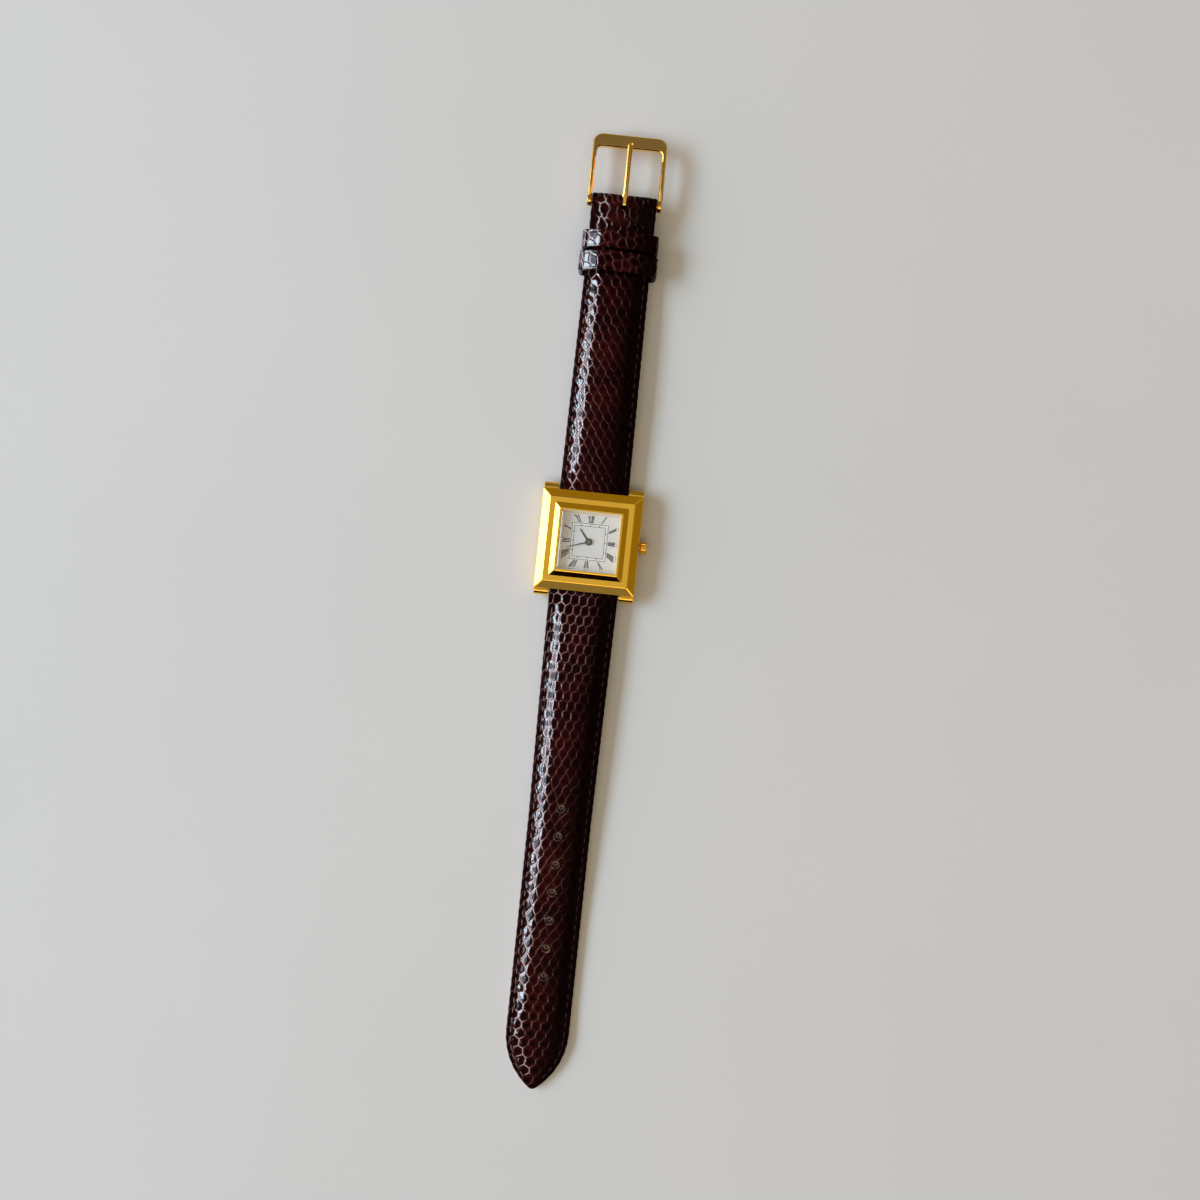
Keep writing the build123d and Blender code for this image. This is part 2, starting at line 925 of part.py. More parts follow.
def make_battery_clamp():
    x, y = clamp_screw_place()
    half = clamp_width / 2
    right = x + clamp_foot_length / 2
    low = cell_low - clamp_thickness
    clamp = block(cell_x - clamp_reach, right, y - half, y + half, low, cell_low)
    clamp += block(
        right - clamp_foot_length, right, y - half, y + half, cell_low, plate_back_level
    )
    return clamp - upright(small_screw_radius, low - overrun, plate_back_level + overrun, x, y)


def make_coil_core():
    left, right = stator_leg_places()
    half = stator_leg_width / 2
    return block(
        left - half,
        right + half,
        core_y - core_width / 2,
        core_y + core_width / 2,
        stator_low - core_thickness,
        stator_low,
    )


def make_coil_winding():
    left, right = stator_leg_places()
    inset = stator_leg_width / 2 + coil_end_gap
    start, end = left + inset, right - inset
    level = stator_low - core_thickness / 2
    coil = along_x(coil_radius, start, end, core_y, level)
    coil += along_x(coil_end_radius, start, start + coil_end_length, core_y, level)
    coil += along_x(coil_end_radius, end - coil_end_length, end, core_y, level)
    return coil - make_coil_core()


def make_stator():
    left, right = stator_leg_places()
    front = motor_pocket_front + stator_margin
    strip_back = front + stator_strip_width
    half = stator_leg_width / 2
    leg_back = core_y + core_width / 2
    stator = block(left - half, right + half, front, strip_back, stator_low, stator_top)
    for x in (left, right):
        stator += block(x - half, x + half, front, leg_back, stator_low, stator_top)
    hole = rotor_radius + rotor_gap
    stator += upright(hole + stator_ring_wall, stator_low, stator_top, *rotor_place)
    return stator - upright(hole, stator_low - overrun, stator_top + overrun, *rotor_place)


def make_rotor():
    x, y = rotor_place
    low = intermediate_level - (pinion_height - wheel_thickness) / 2
    rotor = toothed(
        rotor_pinion_teeth,
        centre_module,
        low,
        low + pinion_height,
        rotor_place,
        aim=rotor_direction + 180,
        gap=True,
    )
    magnet_low = stator_low + stator_thickness / 2 - rotor_magnet_length / 2
    rotor += upright(rotor_radius, magnet_low, magnet_low + rotor_magnet_length, x, y)
    return rotor + arbor(rotor_place)


def arbor(place):
    """A shaft with its pivots in the bridge and in the plate's floor."""
    return upright(arbor_radius, plate_back_level - bridge_thickness, floor_low + pivot_fit, *place)


def make_intermediate_wheel():
    high = intermediate_level + wheel_thickness
    wheel = toothed(
        intermediate_teeth,
        centre_module,
        intermediate_level,
        high,
        intermediate_place,
        aim=rotor_direction,
    )
    low = third_level - (pinion_height - wheel_thickness) / 2
    wheel += toothed(
        train_pinion_teeth,
        third_module,
        low,
        low + pinion_height,
        intermediate_place,
        aim=intermediate_direction + 180,
        gap=True,
    )
    return wheel + arbor(intermediate_place)


def make_third_wheel():
    high = third_level + wheel_thickness
    wheel = toothed(
        third_teeth, third_module, third_level, high, third_place, aim=intermediate_direction
    )
    low = train_level - (pinion_height - wheel_thickness) / 2
    wheel += toothed(
        train_pinion_teeth,
        centre_module,
        low,
        low + pinion_height,
        third_place,
        aim=third_direction + 180,
        gap=True,
    )
    return wheel + arbor(third_place)


def make_centre_wheel():
    high = train_level + wheel_thickness
    wheel = toothed(centre_teeth, centre_module, train_level, high, aim=third_direction)
    return wheel - upright(cannon_sleeve_radius, train_level - overrun, high + overrun)


def make_cannon_pinion():
    leaves_top = motion_level + minute_wheel_thickness
    cannon = upright(cannon_sleeve_radius, train_level, motion_level)
    cannon += toothed(
        cannon_teeth, motion_module, motion_level, leaves_top, aim=minute_direction
    )
    cannon += upright(cannon_radius, leaves_top, cannon_top)
    return cannon - upright(cannon_bore, train_level - overrun, cannon_top + overrun)


def make_minute_wheel():
    high = motion_level + minute_wheel_thickness
    aim = minute_direction + 180
    wheel = toothed(
        minute_teeth, motion_module, motion_level, high, minute_place, aim=aim, gap=True
    )
    wheel += toothed(
        minute_pinion_teeth, hour_module, high, high + minute_pinion_height, minute_place, aim=aim
    )
    bore = minute_stud_radius + minute_stud_fit
    top = high + minute_pinion_height + overrun
    return wheel - upright(bore, motion_level - overrun, top, *minute_place)


def make_hour_wheel():
    low = motion_level + hour_wheel_lift
    high = low + hour_wheel_thickness
    wheel = toothed(hour_teeth, hour_module, low, high, aim=minute_direction, gap=True)
    wheel += upright(hour_pipe_radius, low, hour_pipe_top)
    return wheel - upright(hour_bore, low - overrun, hour_pipe_top + overrun)


def hand(length, foot, tip, low, boss_radius, bore, degrees):
    """A straight tapered hand with a round boss, turned clockwise from 12."""
    blade_outline = Polyline(
        (-foot / 2, 0), (foot / 2, 0), (tip / 2, length), (-tip / 2, length), close=True
    )
    blade = extrude(make_face(blade_outline), hand_thickness)
    boss = upright(boss_radius, 0, boss_thickness)
    piece = blade + boss - upright(bore, -overrun, overrun)
    return Pos(0, 0, low) * Rot(0, 0, -degrees) * piece


def make_hour_hand():
    degrees = 360 / 12 * (shown_hour + shown_minute / 60)
    return hand(
        hour_hand_length,
        hour_hand_foot,
        hour_hand_tip,
        hour_hand_low,
        hour_boss_radius,
        hour_pipe_radius,
        degrees,
    )


def make_minute_hand():
    degrees = 360 / 60 * shown_minute
    return hand(
        minute_hand_length,
        minute_hand_foot,
        minute_hand_tip,
        minute_hand_low,
        minute_boss_radius,
        cannon_radius,
        degrees,
    )


def make_circuit_board():
    low = plate_back_level - board_thickness
    right = movement_width / 2 - board_edge
    front = -movement_length / 2 + board_edge
    board = block(board_left, right, front, board_step_y, low, plate_back_level)
    board += block(board_step_left, right, board_step_y, board_top_y, low, plate_back_level)
    half = chip_width / 2
    return board + block(
        chip_x - half, chip_x + half, chip_y - half, chip_y + half, low - chip_height, low
    )


def make_quartz_can():
    can = along_y(can_radius, can_start_y, can_start_y + can_length, can_x, can_level)
    return chamfer(can.edges().filter_by(GeomType.CIRCLE), can_end_chamfer)


def strap_section(y, width, low, edge, crown):
    """A closed section across a strap: flat below, upright edges, crowned above."""
    half = width / 2
    left_low, right_low = Vector(-half, y, low), Vector(half, y, low)
    left_top, right_top = Vector(-half, y, low + edge), Vector(half, y, low + edge)
    arc = ThreePointArc(right_top, Vector(0, y, low + edge + crown), left_top)
    sides = [Line(left_low, right_low), Line(right_low, right_top), arc]
    return Face(Wire(sides + [Line(left_top, left_low)]))


def flat_section(y, width, low, height):
    """A plain rectangular section across a strap."""
    half = width / 2
    corners = ((-half, y, low), (half, y, low), (half, y, low + height), (-half, y, low + height))
    return Face(Wire(Polyline(*corners, close=True)))


class StrapHalf:
    """One half of the strap, measured along Y from its spring bar."""

    def __init__(self, side, reach, end_width, taper, lift, edge, crown, shares):
        self.side, self.reach = side, reach
        self.end_width, self.taper = end_width, taper
        self.places = [
            (place, lift * up, edge * thick, crown * arch)
            for place, up, thick, arch in zip(*shares)
        ]

    def y(self, place):
        return self.side * (bar_y + place * self.reach)

    def width(self, place):
        share = min(1, place * self.reach / self.taper)
        return strap_lug_width + (self.end_width - strap_lug_width) * share

    def sections(self, first=0, last=None):
        """Outer sections above the lining, from one station to another."""
        return [
            strap_section(
                self.y(place),
                self.width(place),
                low + lining_thickness,
                edge - lining_thickness,
                crown,
            )
            for place, low, edge, crown in self.places[first:last]
        ]

    def neck(self, level, half_height, station):
        """The stretch between a bar and a station, as high as the whole strap there."""
        place, low, edge, crown = self.places[station]
        at_bar = 0 if station == 0 else 1
        crown_at_bar = crown * min(1, overrun)
        ends = [
            strap_section(
                self.y(at_bar),
                self.width(at_bar),
                level - half_height,
                2 * half_height - crown_at_bar,
                crown_at_bar,
            ),
            strap_section(self.y(place), self.width(place), low, edge, crown),
        ]
        return loft(ends, ruled=True)

    def upper(self, first, last):
        return loft(self.sections(first, last), ruled=True)

    def padding(self, first, last):
        """The filler, inside the upper and on top of the lining."""
        faces = [
            strap_section(
                self.y(place),
                self.width(place) - 2 * padding_margin,
                low + lining_thickness,
                max(edge - lining_thickness - leather_thickness, edge_break),
                crown,
            )
            for place, low, edge, crown in self.places[first:last]
        ]
        return loft(faces, ruled=True)

    def lining(self, first, last):
        faces = [
            flat_section(self.y(place), self.width(place), low, lining_thickness)
            for place, low, edge, crown in self.places[first:last]
        ]
        return loft(faces, ruled=True)


long_half = StrapHalf(
    -1,
    long_strap_length - bar_overhang,
    long_strap_tail_width,
    long_taper_length,
    long_lift,
    long_edge,
    long_crown,
    (long_place_shares, long_lift_shares, long_edge_shares, long_crown_shares),
)
short_half = StrapHalf(
    1,
    short_strap_length - bar_overhang - fold_radius,
    short_strap_end_width,
    short_taper_length,
    short_lift,
    short_edge,
    short_crown,
    (short_place_shares, short_lift_shares, short_edge_shares, short_crown_shares),
)


def lug_loop(half):
    """The rolled end of a strap half round its spring bar."""
    reach = strap_lug_width / 2
    return along_x(lug_loop_radius, -reach, reach, half.y(0), bar_level)


def lug_bore(half):
    reach = lug_gap / 2
    return along_x(bar_radius + strap_bore_fit, -reach, reach, half.y(0), bar_level)


def tip_cutter():
    """Everything outside the pointed outline of the long strap's tip."""
    half = long_strap_tail_width / 2
    root_y = long_tip_y + tip_length
    shoulder = (half * tip_shoulder_width_share, long_tip_y + tip_length * (1 - tip_shoulder_share))
    slope = math.radians(45)
    end = (tip_radius * math.sin(slope), long_tip_y + tip_radius * (1 - math.cos(slope)))
    right = ThreePointArc((half, root_y), shoulder, end)
    left = ThreePointArc((-end[0], end[1]), (-shoulder[0], shoulder[1]), (-half, root_y))
    nose = ThreePointArc(end, (0, long_tip_y), (-end[0], end[1]))
    outline = make_face(Wire([right, nose, left, Line((-half, root_y), (half, root_y))]))
    height = long_lift + long_edge + long_crown
    around = block(
        -strap_lug_width, strap_lug_width, long_tip_y - overrun, root_y, -overrun, height
    )
    return around - Pos(0, 0, -overrun) * extrude(outline, height + 2 * overrun)


def strap_holes():
    """The punched holes that the tongue goes through."""
    top = long_lift + long_edge + long_crown
    first_y = long_tip_y + last_hole_from_tip
    return [
        upright(hole_radius, -overrun, top, 0, first_y + hole_pitch * number)
        for number in range(hole_count)
    ]


def make_long_strap():
    upper = long_half.neck(bar_level, strap_neck_half, 0)
    upper += lug_loop(long_half)
    upper += long_half.upper(0, None)
    upper -= lug_bore(long_half)
    padding = long_half.padding(1, 4)
    upper -= padding
    upper -= tip_cutter()
    lining = long_half.lining(0, None) - tip_cutter()
    for hole in strap_holes():
        upper -= hole
        lining -= hole
    return upper, padding, lining


def make_short_strap():
    end_reach = short_strap_end_width / 2
    upper = short_half.neck(bar_level, strap_neck_half, 0)
    upper += lug_loop(short_half)
    upper += short_half.upper(0, -1)
    upper += short_half.neck(buckle_bar_level, fold_neck_half, -2)
    upper += along_x(fold_radius, -end_reach, end_reach, buckle_bar_y, buckle_bar_level)
    upper -= lug_bore(short_half)
    upper -= along_x(
        buckle_bar_radius + buckle_bore_fit, -buckle_width, buckle_width, buckle_bar_y, buckle_bar_level
    )
    upper -= block(
        -tongue_slot_width / 2,
        tongue_slot_width / 2,
        short_end_y - tongue_slot_length,
        short_end_y + overrun,
        0,
        buckle_bar_level + fold_radius + overrun,
    )
    padding = short_half.padding(1, 4)
    upper -= padding
    lining = short_half.lining(0, -1)
    return upper, padding, lining


def make_keeper(inner_width, start, end):
    """A loop of leather with rounded corners and a crowned top, standing on the table."""
    outer_width = inner_width + 2 * keeper_leather
    outer_height = keeper_inner_height + 2 * keeper_leather
    ring = keeper_outline(outer_width, outer_height, keeper_corner, 0)
    inner_corner = keeper_corner - keeper_leather
    ring -= keeper_outline(inner_width, keeper_inner_height, inner_corner, keeper_leather)
    return Pos(0, end, 0) * extrude(Plane.XZ * ring, end - start)


def keeper_outline(width, height, corner, low):
    """A rounded rectangle above a level, with its upper side crowned."""
    half = width / 2
    top = low + height
    box = Pos(0, low + height / 2) * RectangleRounded(width, height, corner)
    crown = ThreePointArc((half - corner, top), (0, top + keeper_crown), (corner - half, top))
    return box + make_face(Wire([crown, Line((corner - half, top), (half - corner, top))]))


def keeper_places():
    """Where the fixed and the free keeper start and end along Y."""
    fixed_end = short_end_y - fixed_keeper_from_end
    fixed_start = fixed_end - fixed_keeper_length
    free_end = fixed_start - keeper_spacing
    return (fixed_start, fixed_end), (free_end - free_keeper_length, free_end)


def buckle_centre_line():
    """The arch of the buckle in side view: its bar, its crest and its outer end."""
    end_y = short_end_y + buckle_reach
    end_level = buckle_bar_level - buckle_plate_drop
    middle = ((buckle_bar_y + end_y) / 2, (buckle_bar_level + end_level) / 2 + buckle_arch)
    return (buckle_bar_y, buckle_bar_level), middle, (end_y, end_level)


def arch_face(thickness):
    """A band of even height along the buckle's arch, in the YZ plane."""
    half = thickness / 2
    low = [(y, z - half) for y, z in buckle_centre_line()]
    high = [(y, z + half) for y, z in buckle_centre_line()]
    edges = [
        ThreePointArc(*low),
        Line(low[-1], high[-1]),
        ThreePointArc(*reversed(high)),
        Line(high[0], low[0]),
    ]
    return make_face(Wire(edges))


def make_buckle_frame():
    end_y = short_end_y + buckle_reach
    band = extrude(Plane.YZ * arch_face(buckle_thickness), buckle_width, both=True)
    start_y = buckle_bar_y - buckle_corner
    length = end_y - start_y
    outline = Pos(0, start_y + length / 2) * RectangleRounded(
        buckle_width, length, buckle_corner
    )
    window_end = end_y - buckle_plate
    window_start = start_y - buckle_inner_corner - overrun
    window_length = window_end - window_start
    outline -= Pos(0, window_start + window_length / 2) * RectangleRounded(
        buckle_inner_width, window_length, buckle_inner_corner
    )
    outline -= Pos(0, buckle_bar_y - length / 2) * Rectangle(2 * buckle_width, length)
    top = 2 * buckle_bar_level
    frame = band & extrude(outline, top)
    frame = chamfer(long_edges(frame, buckle_plate), buckle_chamfer)
    for side in (-1, 1):
        reach = sorted((side * buckle_inner_width / 2, side * buckle_width / 2))
        eye = along_x(buckle_eye_radius, *reach, buckle_bar_y, buckle_bar_level)
        frame += chamfer(eye.edges().filter_by(GeomType.CIRCLE), buckle_eye_chamfer)
    frame -= along_x(
        buckle_bar_radius, -buckle_width, buckle_width, buckle_bar_y, buckle_bar_level
    )
    return frame - notch_cutter(window_end)


def long_edges(solid, least):
    """The edges of a solid that are at least a given length."""
    return [edge for edge in solid.edges() if edge.length > least]


def plate_top(y):
    """The level of the buckle's upper face at a place along Y, on its arch."""
    (start_y, start_z), (_, middle_z), (end_y, end_z) = buckle_centre_line()
    share = (y - start_y) / (end_y - start_y)
    chord = start_z + (end_z - start_z) * share
    rise = 4 * (middle_z - (start_z + end_z) / 2) * share * (1 - share)
    return chord + rise + buckle_thickness / 2


def notch_cutter(window_end):
    """The small hollow on the plate where the tongue's tip rests."""
    level = plate_top(window_end) - notch_depth + notch_radius
    return along_y(
        notch_radius, window_end - overrun, window_end + tongue_overlap + overrun / 2, 0, level
    )


def make_buckle_bar():
    half = buckle_width / 2 - bar_head_recess
    return along_x(buckle_bar_radius, -half, half, buckle_bar_y, buckle_bar_level)


def make_buckle_tongue():
    window_end = short_end_y + buckle_reach - buckle_plate
    tip_y = window_end + tongue_overlap
    half = tongue_thickness / 2
    tip_level = plate_top(window_end) - notch_depth + half + tongue_seat
    foot = (buckle_bar_y, buckle_bar_level + tongue_curl_radius - half)
    length = tip_y - buckle_bar_y
    peak = (buckle_bar_y + length * tongue_peak_share, foot[1] + tongue_rise)
    bend = (buckle_bar_y + length * tongue_bend_share, foot[1] + tongue_rise)
    path = Polyline(foot, peak, bend, (tip_y, tip_level))
    side_view = trace(path, tongue_thickness)
    arm = extrude(Plane.YZ * side_view, tongue_width / 2, both=True)
    outline = Pos(0, (buckle_bar_y + tip_y) / 2) * RectangleRounded(
        tongue_width, length + tongue_width, tongue_width / 2 - edge_break
    )
    outline = Pos(0, -tongue_width / 2) * outline
    arm = arm & extrude(outline, 2 * buckle_bar_level + fold_radius)
    curl_half = tongue_curl_width / 2
    arm += along_x(
        tongue_curl_radius, -curl_half, curl_half, buckle_bar_y, buckle_bar_level
    )
    return arm - along_x(
        buckle_bar_radius + tongue_fit, -buckle_width, buckle_width, buckle_bar_y, buckle_bar_level
    )


def main():
    os.makedirs("parts", exist_ok=True)
    save("case_middle", make_case_middle())
    save("case_back", make_case_back())
    save("case_back_screws", *[make_back_screw(x, y) for x, y in screw_places()])
    save("case_back_gasket", gasket_ring())
    save("crystal", make_crystal())
    save("crystal_gasket", make_crystal_gasket())
    save("dial", make_dial())
    save("spring_bars", make_spring_bar(1), make_spring_bar(-1))
    save("crown", make_crown())
    save("crown_tube", make_crown_tube())
    save("crown_gasket", make_crown_gasket())
    save("winding_stem", make_winding_stem())
    save("clutch_pinion", make_clutch_pinion())
    save("setting_lever", make_setting_lever())
    save("main_plate", make_main_plate())
    save("train_bridge", make_train_bridge())
    save("movement_screws", *make_movement_screws())
    save("movement_holder", make_movement_holder())
    save("battery_cell", make_battery_cell())
    save("battery_clamp", make_battery_clamp())
    save("coil_core", make_coil_core())
    save("coil_winding", make_coil_winding())
    save("stator", make_stator())
    save("rotor", make_rotor())
    save("intermediate_wheel", make_intermediate_wheel())
    save("third_wheel", make_third_wheel())
    save("centre_wheel", make_centre_wheel())
    save("cannon_pinion", make_cannon_pinion())
    save("minute_wheel", make_minute_wheel())
    save("hour_wheel", make_hour_wheel())
    save("hour_hand", make_hour_hand())
    save("minute_hand", make_minute_hand())
    save("circuit_board", make_circuit_board())
    save("quartz_can", make_quartz_can())
    for name, solids in (("long_strap", make_long_strap()), ("short_strap", make_short_strap())):
        for layer, solid in zip(("upper", "padding", "lining"), solids):
            save(f"{name}_{layer}", solid)
    fixed, free = keeper_places()
    save("fixed_keeper", make_keeper(fixed_keeper_inner_width, *fixed))
    save("free_keeper", make_keeper(free_keeper_inner_width, *free))
    save("buckle_frame", make_buckle_frame())
    save("buckle_bar", make_buckle_bar())
    save("buckle_tongue", make_buckle_tongue())


main()
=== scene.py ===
import json
import math

import bpy
import numpy as np
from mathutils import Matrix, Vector


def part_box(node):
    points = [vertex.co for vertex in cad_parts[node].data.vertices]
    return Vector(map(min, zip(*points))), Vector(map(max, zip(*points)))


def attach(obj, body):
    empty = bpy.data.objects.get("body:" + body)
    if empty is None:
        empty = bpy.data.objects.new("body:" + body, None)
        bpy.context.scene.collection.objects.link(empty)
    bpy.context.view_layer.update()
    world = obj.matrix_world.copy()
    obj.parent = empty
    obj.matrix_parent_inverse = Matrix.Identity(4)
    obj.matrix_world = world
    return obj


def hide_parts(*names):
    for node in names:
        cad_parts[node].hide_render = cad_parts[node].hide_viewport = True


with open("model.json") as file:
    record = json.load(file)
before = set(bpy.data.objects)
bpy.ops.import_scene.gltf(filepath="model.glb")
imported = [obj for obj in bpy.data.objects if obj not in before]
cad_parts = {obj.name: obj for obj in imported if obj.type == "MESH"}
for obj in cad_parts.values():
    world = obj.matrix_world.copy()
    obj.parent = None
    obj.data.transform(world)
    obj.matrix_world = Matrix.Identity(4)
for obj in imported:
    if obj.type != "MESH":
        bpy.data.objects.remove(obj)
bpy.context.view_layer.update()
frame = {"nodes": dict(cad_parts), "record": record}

# The dressed square watch. The scene is in metres, and a length in millimetres is multiplied by MM
# when it goes there. The strap, the tongue and the dial's print are worked out in millimetres.
MM = 0.001
NODES = frame["nodes"]
rng = np.random.default_rng(7)

# Read from the frame: boxes and the dial's level in metres, the bars' places in millimetres
DIAL_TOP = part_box("dial")[1].z
BARS_LOW, BARS_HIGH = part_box("spring_bars")
BAR_RADIUS = 0.75
BAR_Y = (BARS_HIGH.y - BARS_LOW.y) / 2 / MM - BAR_RADIUS
BAR_Z = (BARS_LOW.z + BARS_HIGH.z) / 2 / MM
BUCKLE_BAR_LOW, BUCKLE_BAR_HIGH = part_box("buckle_bar")
BUCKLE_BAR_Y = (BUCKLE_BAR_LOW.y + BUCKLE_BAR_HIGH.y) / 2 / MM
BUCKLE_BAR_Z = (BUCKLE_BAR_LOW.z + BUCKLE_BAR_HIGH.z) / 2 / MM

# The photograph's view: its turn about the vertical, and the camera's place
PHOTO_TURN = math.radians(6.0)
CAMERA_PLACE = (3.83 * MM, -12.56 * MM, 277 * MM)
CAMERA_LENS = 36.78
CAMERA_SENSOR = 36.0
IMAGE_RIGHT = Vector((math.cos(PHOTO_TURN), math.sin(PHOTO_TURN), 0))
IMAGE_UP = Vector((-math.sin(PHOTO_TURN), math.cos(PHOTO_TURN), 0))


def smooth(value, low, high):
    """From 0 at low to 1 at high, without corners."""
    share = np.clip((value - low) / (high - low), 0, 1)
    return share * share * (3 - 2 * share)


# Materials


class Tree:
    """A node tree, and short calls to fill it."""

    def __init__(self, tree):
        self.tree = tree

    def node(self, kind, **settings):
        made = self.tree.nodes.new(kind)
        for key, value in settings.items():
            if hasattr(made, key):
                setattr(made, key, value)
            else:
                made.inputs[key.replace("_", " ")].default_value = value
        return made

    def link(self, source, target):
        self.tree.links.new(source, target)

    def fill(self, socket, value):
        """Gives a socket a number, a colour or another node's output."""
        if isinstance(value, (int, float)):
            socket.default_value = value
        elif isinstance(value, tuple):
            socket.default_value = (*value, 1)
        else:
            self.link(value, socket)

    def mix(self, share, first, second):
        """Mixes two colours, each a socket or three numbers."""
        mix = self.node("ShaderNodeMix", data_type="RGBA")
        self.link(share, mix.inputs[0])
        self.fill(mix.inputs[6], first)
        self.fill(mix.inputs[7], second)
        return mix.outputs[2]

    def maths(self, operation, first, second):
        made = self.node("ShaderNodeMath", operation=operation)
        self.fill(made.inputs[0], first)
        self.fill(made.inputs[1], second)
        return made.outputs["Value"]

    def mix_shaders(self, share, first, second):
        mix = self.node("ShaderNodeMixShader")
        for source, socket in zip((share, first, second), mix.inputs):
            self.link(source, socket)
        return mix.outputs[0]


class Nodes(Tree):
    """A material with its node tree."""

    def __init__(self, name, **sockets):
        self.material = bpy.data.materials.new(name)
        self.material.use_nodes = True
        super().__init__(self.material.node_tree)
        self.shader = self.tree.nodes["Principled BSDF"]
        self.output = self.tree.nodes["Material Output"]
        for socket, value in sockets.items():
            self.shader.inputs[socket.replace("_", " ")].default_value = value

    def feed(self, socket, source):
        self.link(source, self.shader.inputs[socket])

    def place(self):
        return self.node("ShaderNodeTexCoord").outputs["Object"]

    def pattern(self, kind, output, **settings):
        """A texture over the object."""
        texture = self.node(kind, **settings)
        self.link(self.place(), texture.inputs["Vector"])
        return texture.outputs[output]

    def noise(self, scale, detail=3.0, stretch=None):
        """Noise over the object, with stretch as a scale along each axis."""
        texture = self.node("ShaderNodeTexNoise", Scale=scale, Detail=detail)
        source = self.place()
        if stretch:
            mapping = self.node("ShaderNodeMapping")
            mapping.inputs["Scale"].default_value = stretch
            self.link(source, mapping.inputs["Vector"])
            source = mapping.outputs["Vector"]
        self.link(source, texture.inputs["Vector"])
        return texture.outputs["Fac"]

    def ramp(self, source, *stops):
        """Colours or greys along a value."""
        ramp = self.node("ShaderNodeValToRGB")
        elements = ramp.color_ramp.elements
        while len(elements) < len(stops):
            elements.new(0.5)
        for element, (place, colour) in zip(elements, stops):
            element.position = place
            grey = isinstance(colour, (int, float))
            element.color = (colour, colour, colour, 1) if grey else (*colour, 1)
        self.link(source, ramp.inputs["Fac"])
        return ramp.outputs["Color"]

    def attribute(self, name):
        return self.node("ShaderNodeAttribute", attribute_name=name).outputs["Fac"]

    def bump(self, height, distance, strength=1.0, normal=None):
        bump = self.node("ShaderNodeBump", Strength=strength, Distance=distance)
        self.link(height, bump.inputs["Height"])
        if normal is not None:
            self.link(normal, bump.inputs["Normal"])
        return bump.outputs["Normal"]

    def wander(self, socket, scale, low, high, detail=3.0, stretch=None):
        """Lets a socket wander between two values over the object."""
        self.feed(socket, self.ramp(self.noise(scale, detail, stretch), (0.3, low), (0.7, high)))


def gold_material(name, blue=0.065, roughness=0.07, edge=0.05):
    """Polished yellow gold with faint hairlines, worn edges and a slightly uneven surface."""
    m = Nodes(name, Metallic=1.0)
    m.wander("Base Color", 260.0, (0.92, 0.55, blue), (0.96, 0.59, 1.3 * blue))
    wear = m.ramp(m.noise(900.0, 6.0), (0.35, roughness), (0.75, roughness + 0.05))
    m.feed("Roughness", wear)
    lines = m.noise(2400.0, 2.0, (1.0, 12.0, 1.0))
    rounded = m.node("ShaderNodeBevel", samples=6, Radius=edge * MM).outputs["Normal"]
    m.feed("Normal", m.bump(lines, 0.0008 * MM, 0.25, rounded))
    return m.material


def steel_material(name, tone=(0.62, 0.61, 0.60), roughness=0.28, stretch=(1.0, 30.0, 1.0)):
    """Brushed steel."""
    m = Nodes(name, Metallic=1.0)
    m.wander("Base Color", 300.0, tuple(0.92 * c for c in tone), tone)
    grain = m.noise(3000.0, 4.0, stretch)
    m.feed("Roughness", m.ramp(grain, (0.3, roughness - 0.06), (0.7, roughness + 0.1)))
    m.feed("Normal", m.bump(grain, 0.004 * MM, 0.7))
    return m.material


def brass_material(name):
    """Plain brass with circular machining marks."""
    m = Nodes(name, Metallic=1.0)
    m.wander("Base Color", 400.0, (0.66, 0.47, 0.20), (0.80, 0.60, 0.29))
    m.wander("Roughness", 1500.0, 0.22, 0.38)
    rings = m.pattern("ShaderNodeTexWave", "Fac", wave_type="RINGS", rings_direction="Z", Scale=1800.0)
    m.feed("Normal", m.bump(rings, 0.003 * MM, 0.5))
    return m.material


def plain_material(name, low, high, roughness, grain=2000.0, metallic=0.0, depth=0.01):
    """A fine-grained surface whose colour wanders between two tones."""
    m = Nodes(name, Metallic=metallic)
    m.wander("Base Color", 350.0, low, high)
    m.wander("Roughness", grain, roughness - 0.05, roughness + 0.08)
    m.feed("Normal", m.bump(m.noise(grain, 5.0), depth * MM, 0.5))
    return m.material


def wound_material(name):
    """Enamelled copper wire, wound in close turns."""
    m = Nodes(name, Metallic=1.0)
    turns = m.pattern("ShaderNodeTexWave", "Fac", bands_direction="X", Scale=6000.0)
    m.feed("Base Color", m.ramp(turns, (0.2, (0.30, 0.10, 0.04)), (0.8, (0.78, 0.36, 0.17))))
    m.wander("Roughness", 900.0, 0.25, 0.4)
    m.feed("Normal", m.bump(turns, 0.02 * MM))
    return m.material


def dial_material(name):
    """Silvered dial with a fine satin grain."""
    m = Nodes(name, Metallic=0.25)
    m.wander("Base Color", 220.0, (0.79, 0.78, 0.81), (0.86, 0.85, 0.88))
    grain = m.noise(5200.0, stretch=(1.0, 9.0, 1.0))
    m.feed("Roughness", m.ramp(grain, (0.3, 0.38), (0.7, 0.5)))
    m.feed("Normal", m.bump(grain, 0.003 * MM, 0.5))
    return m.material


def glass_material(name):
    """Clear mineral glass. Shadow and diffuse rays pass straight through it."""
    m = Nodes(name, Roughness=0.0, IOR=1.6, Transmission_Weight=1.0)
    m.wander("Base Color", 60.0, (0.97, 0.99, 0.985), (0.985, 1.0, 0.995))
    path = m.node("ShaderNodeLightPath")
    through = m.maths("MAXIMUM", path.outputs["Is Shadow Ray"], path.outputs["Is Diffuse Ray"])
    clear = m.node("ShaderNodeBsdfTransparent").outputs[0]
    m.link(m.mix_shaders(through, m.shader.outputs[0], clear), m.output.inputs["Surface"])
    return m.material


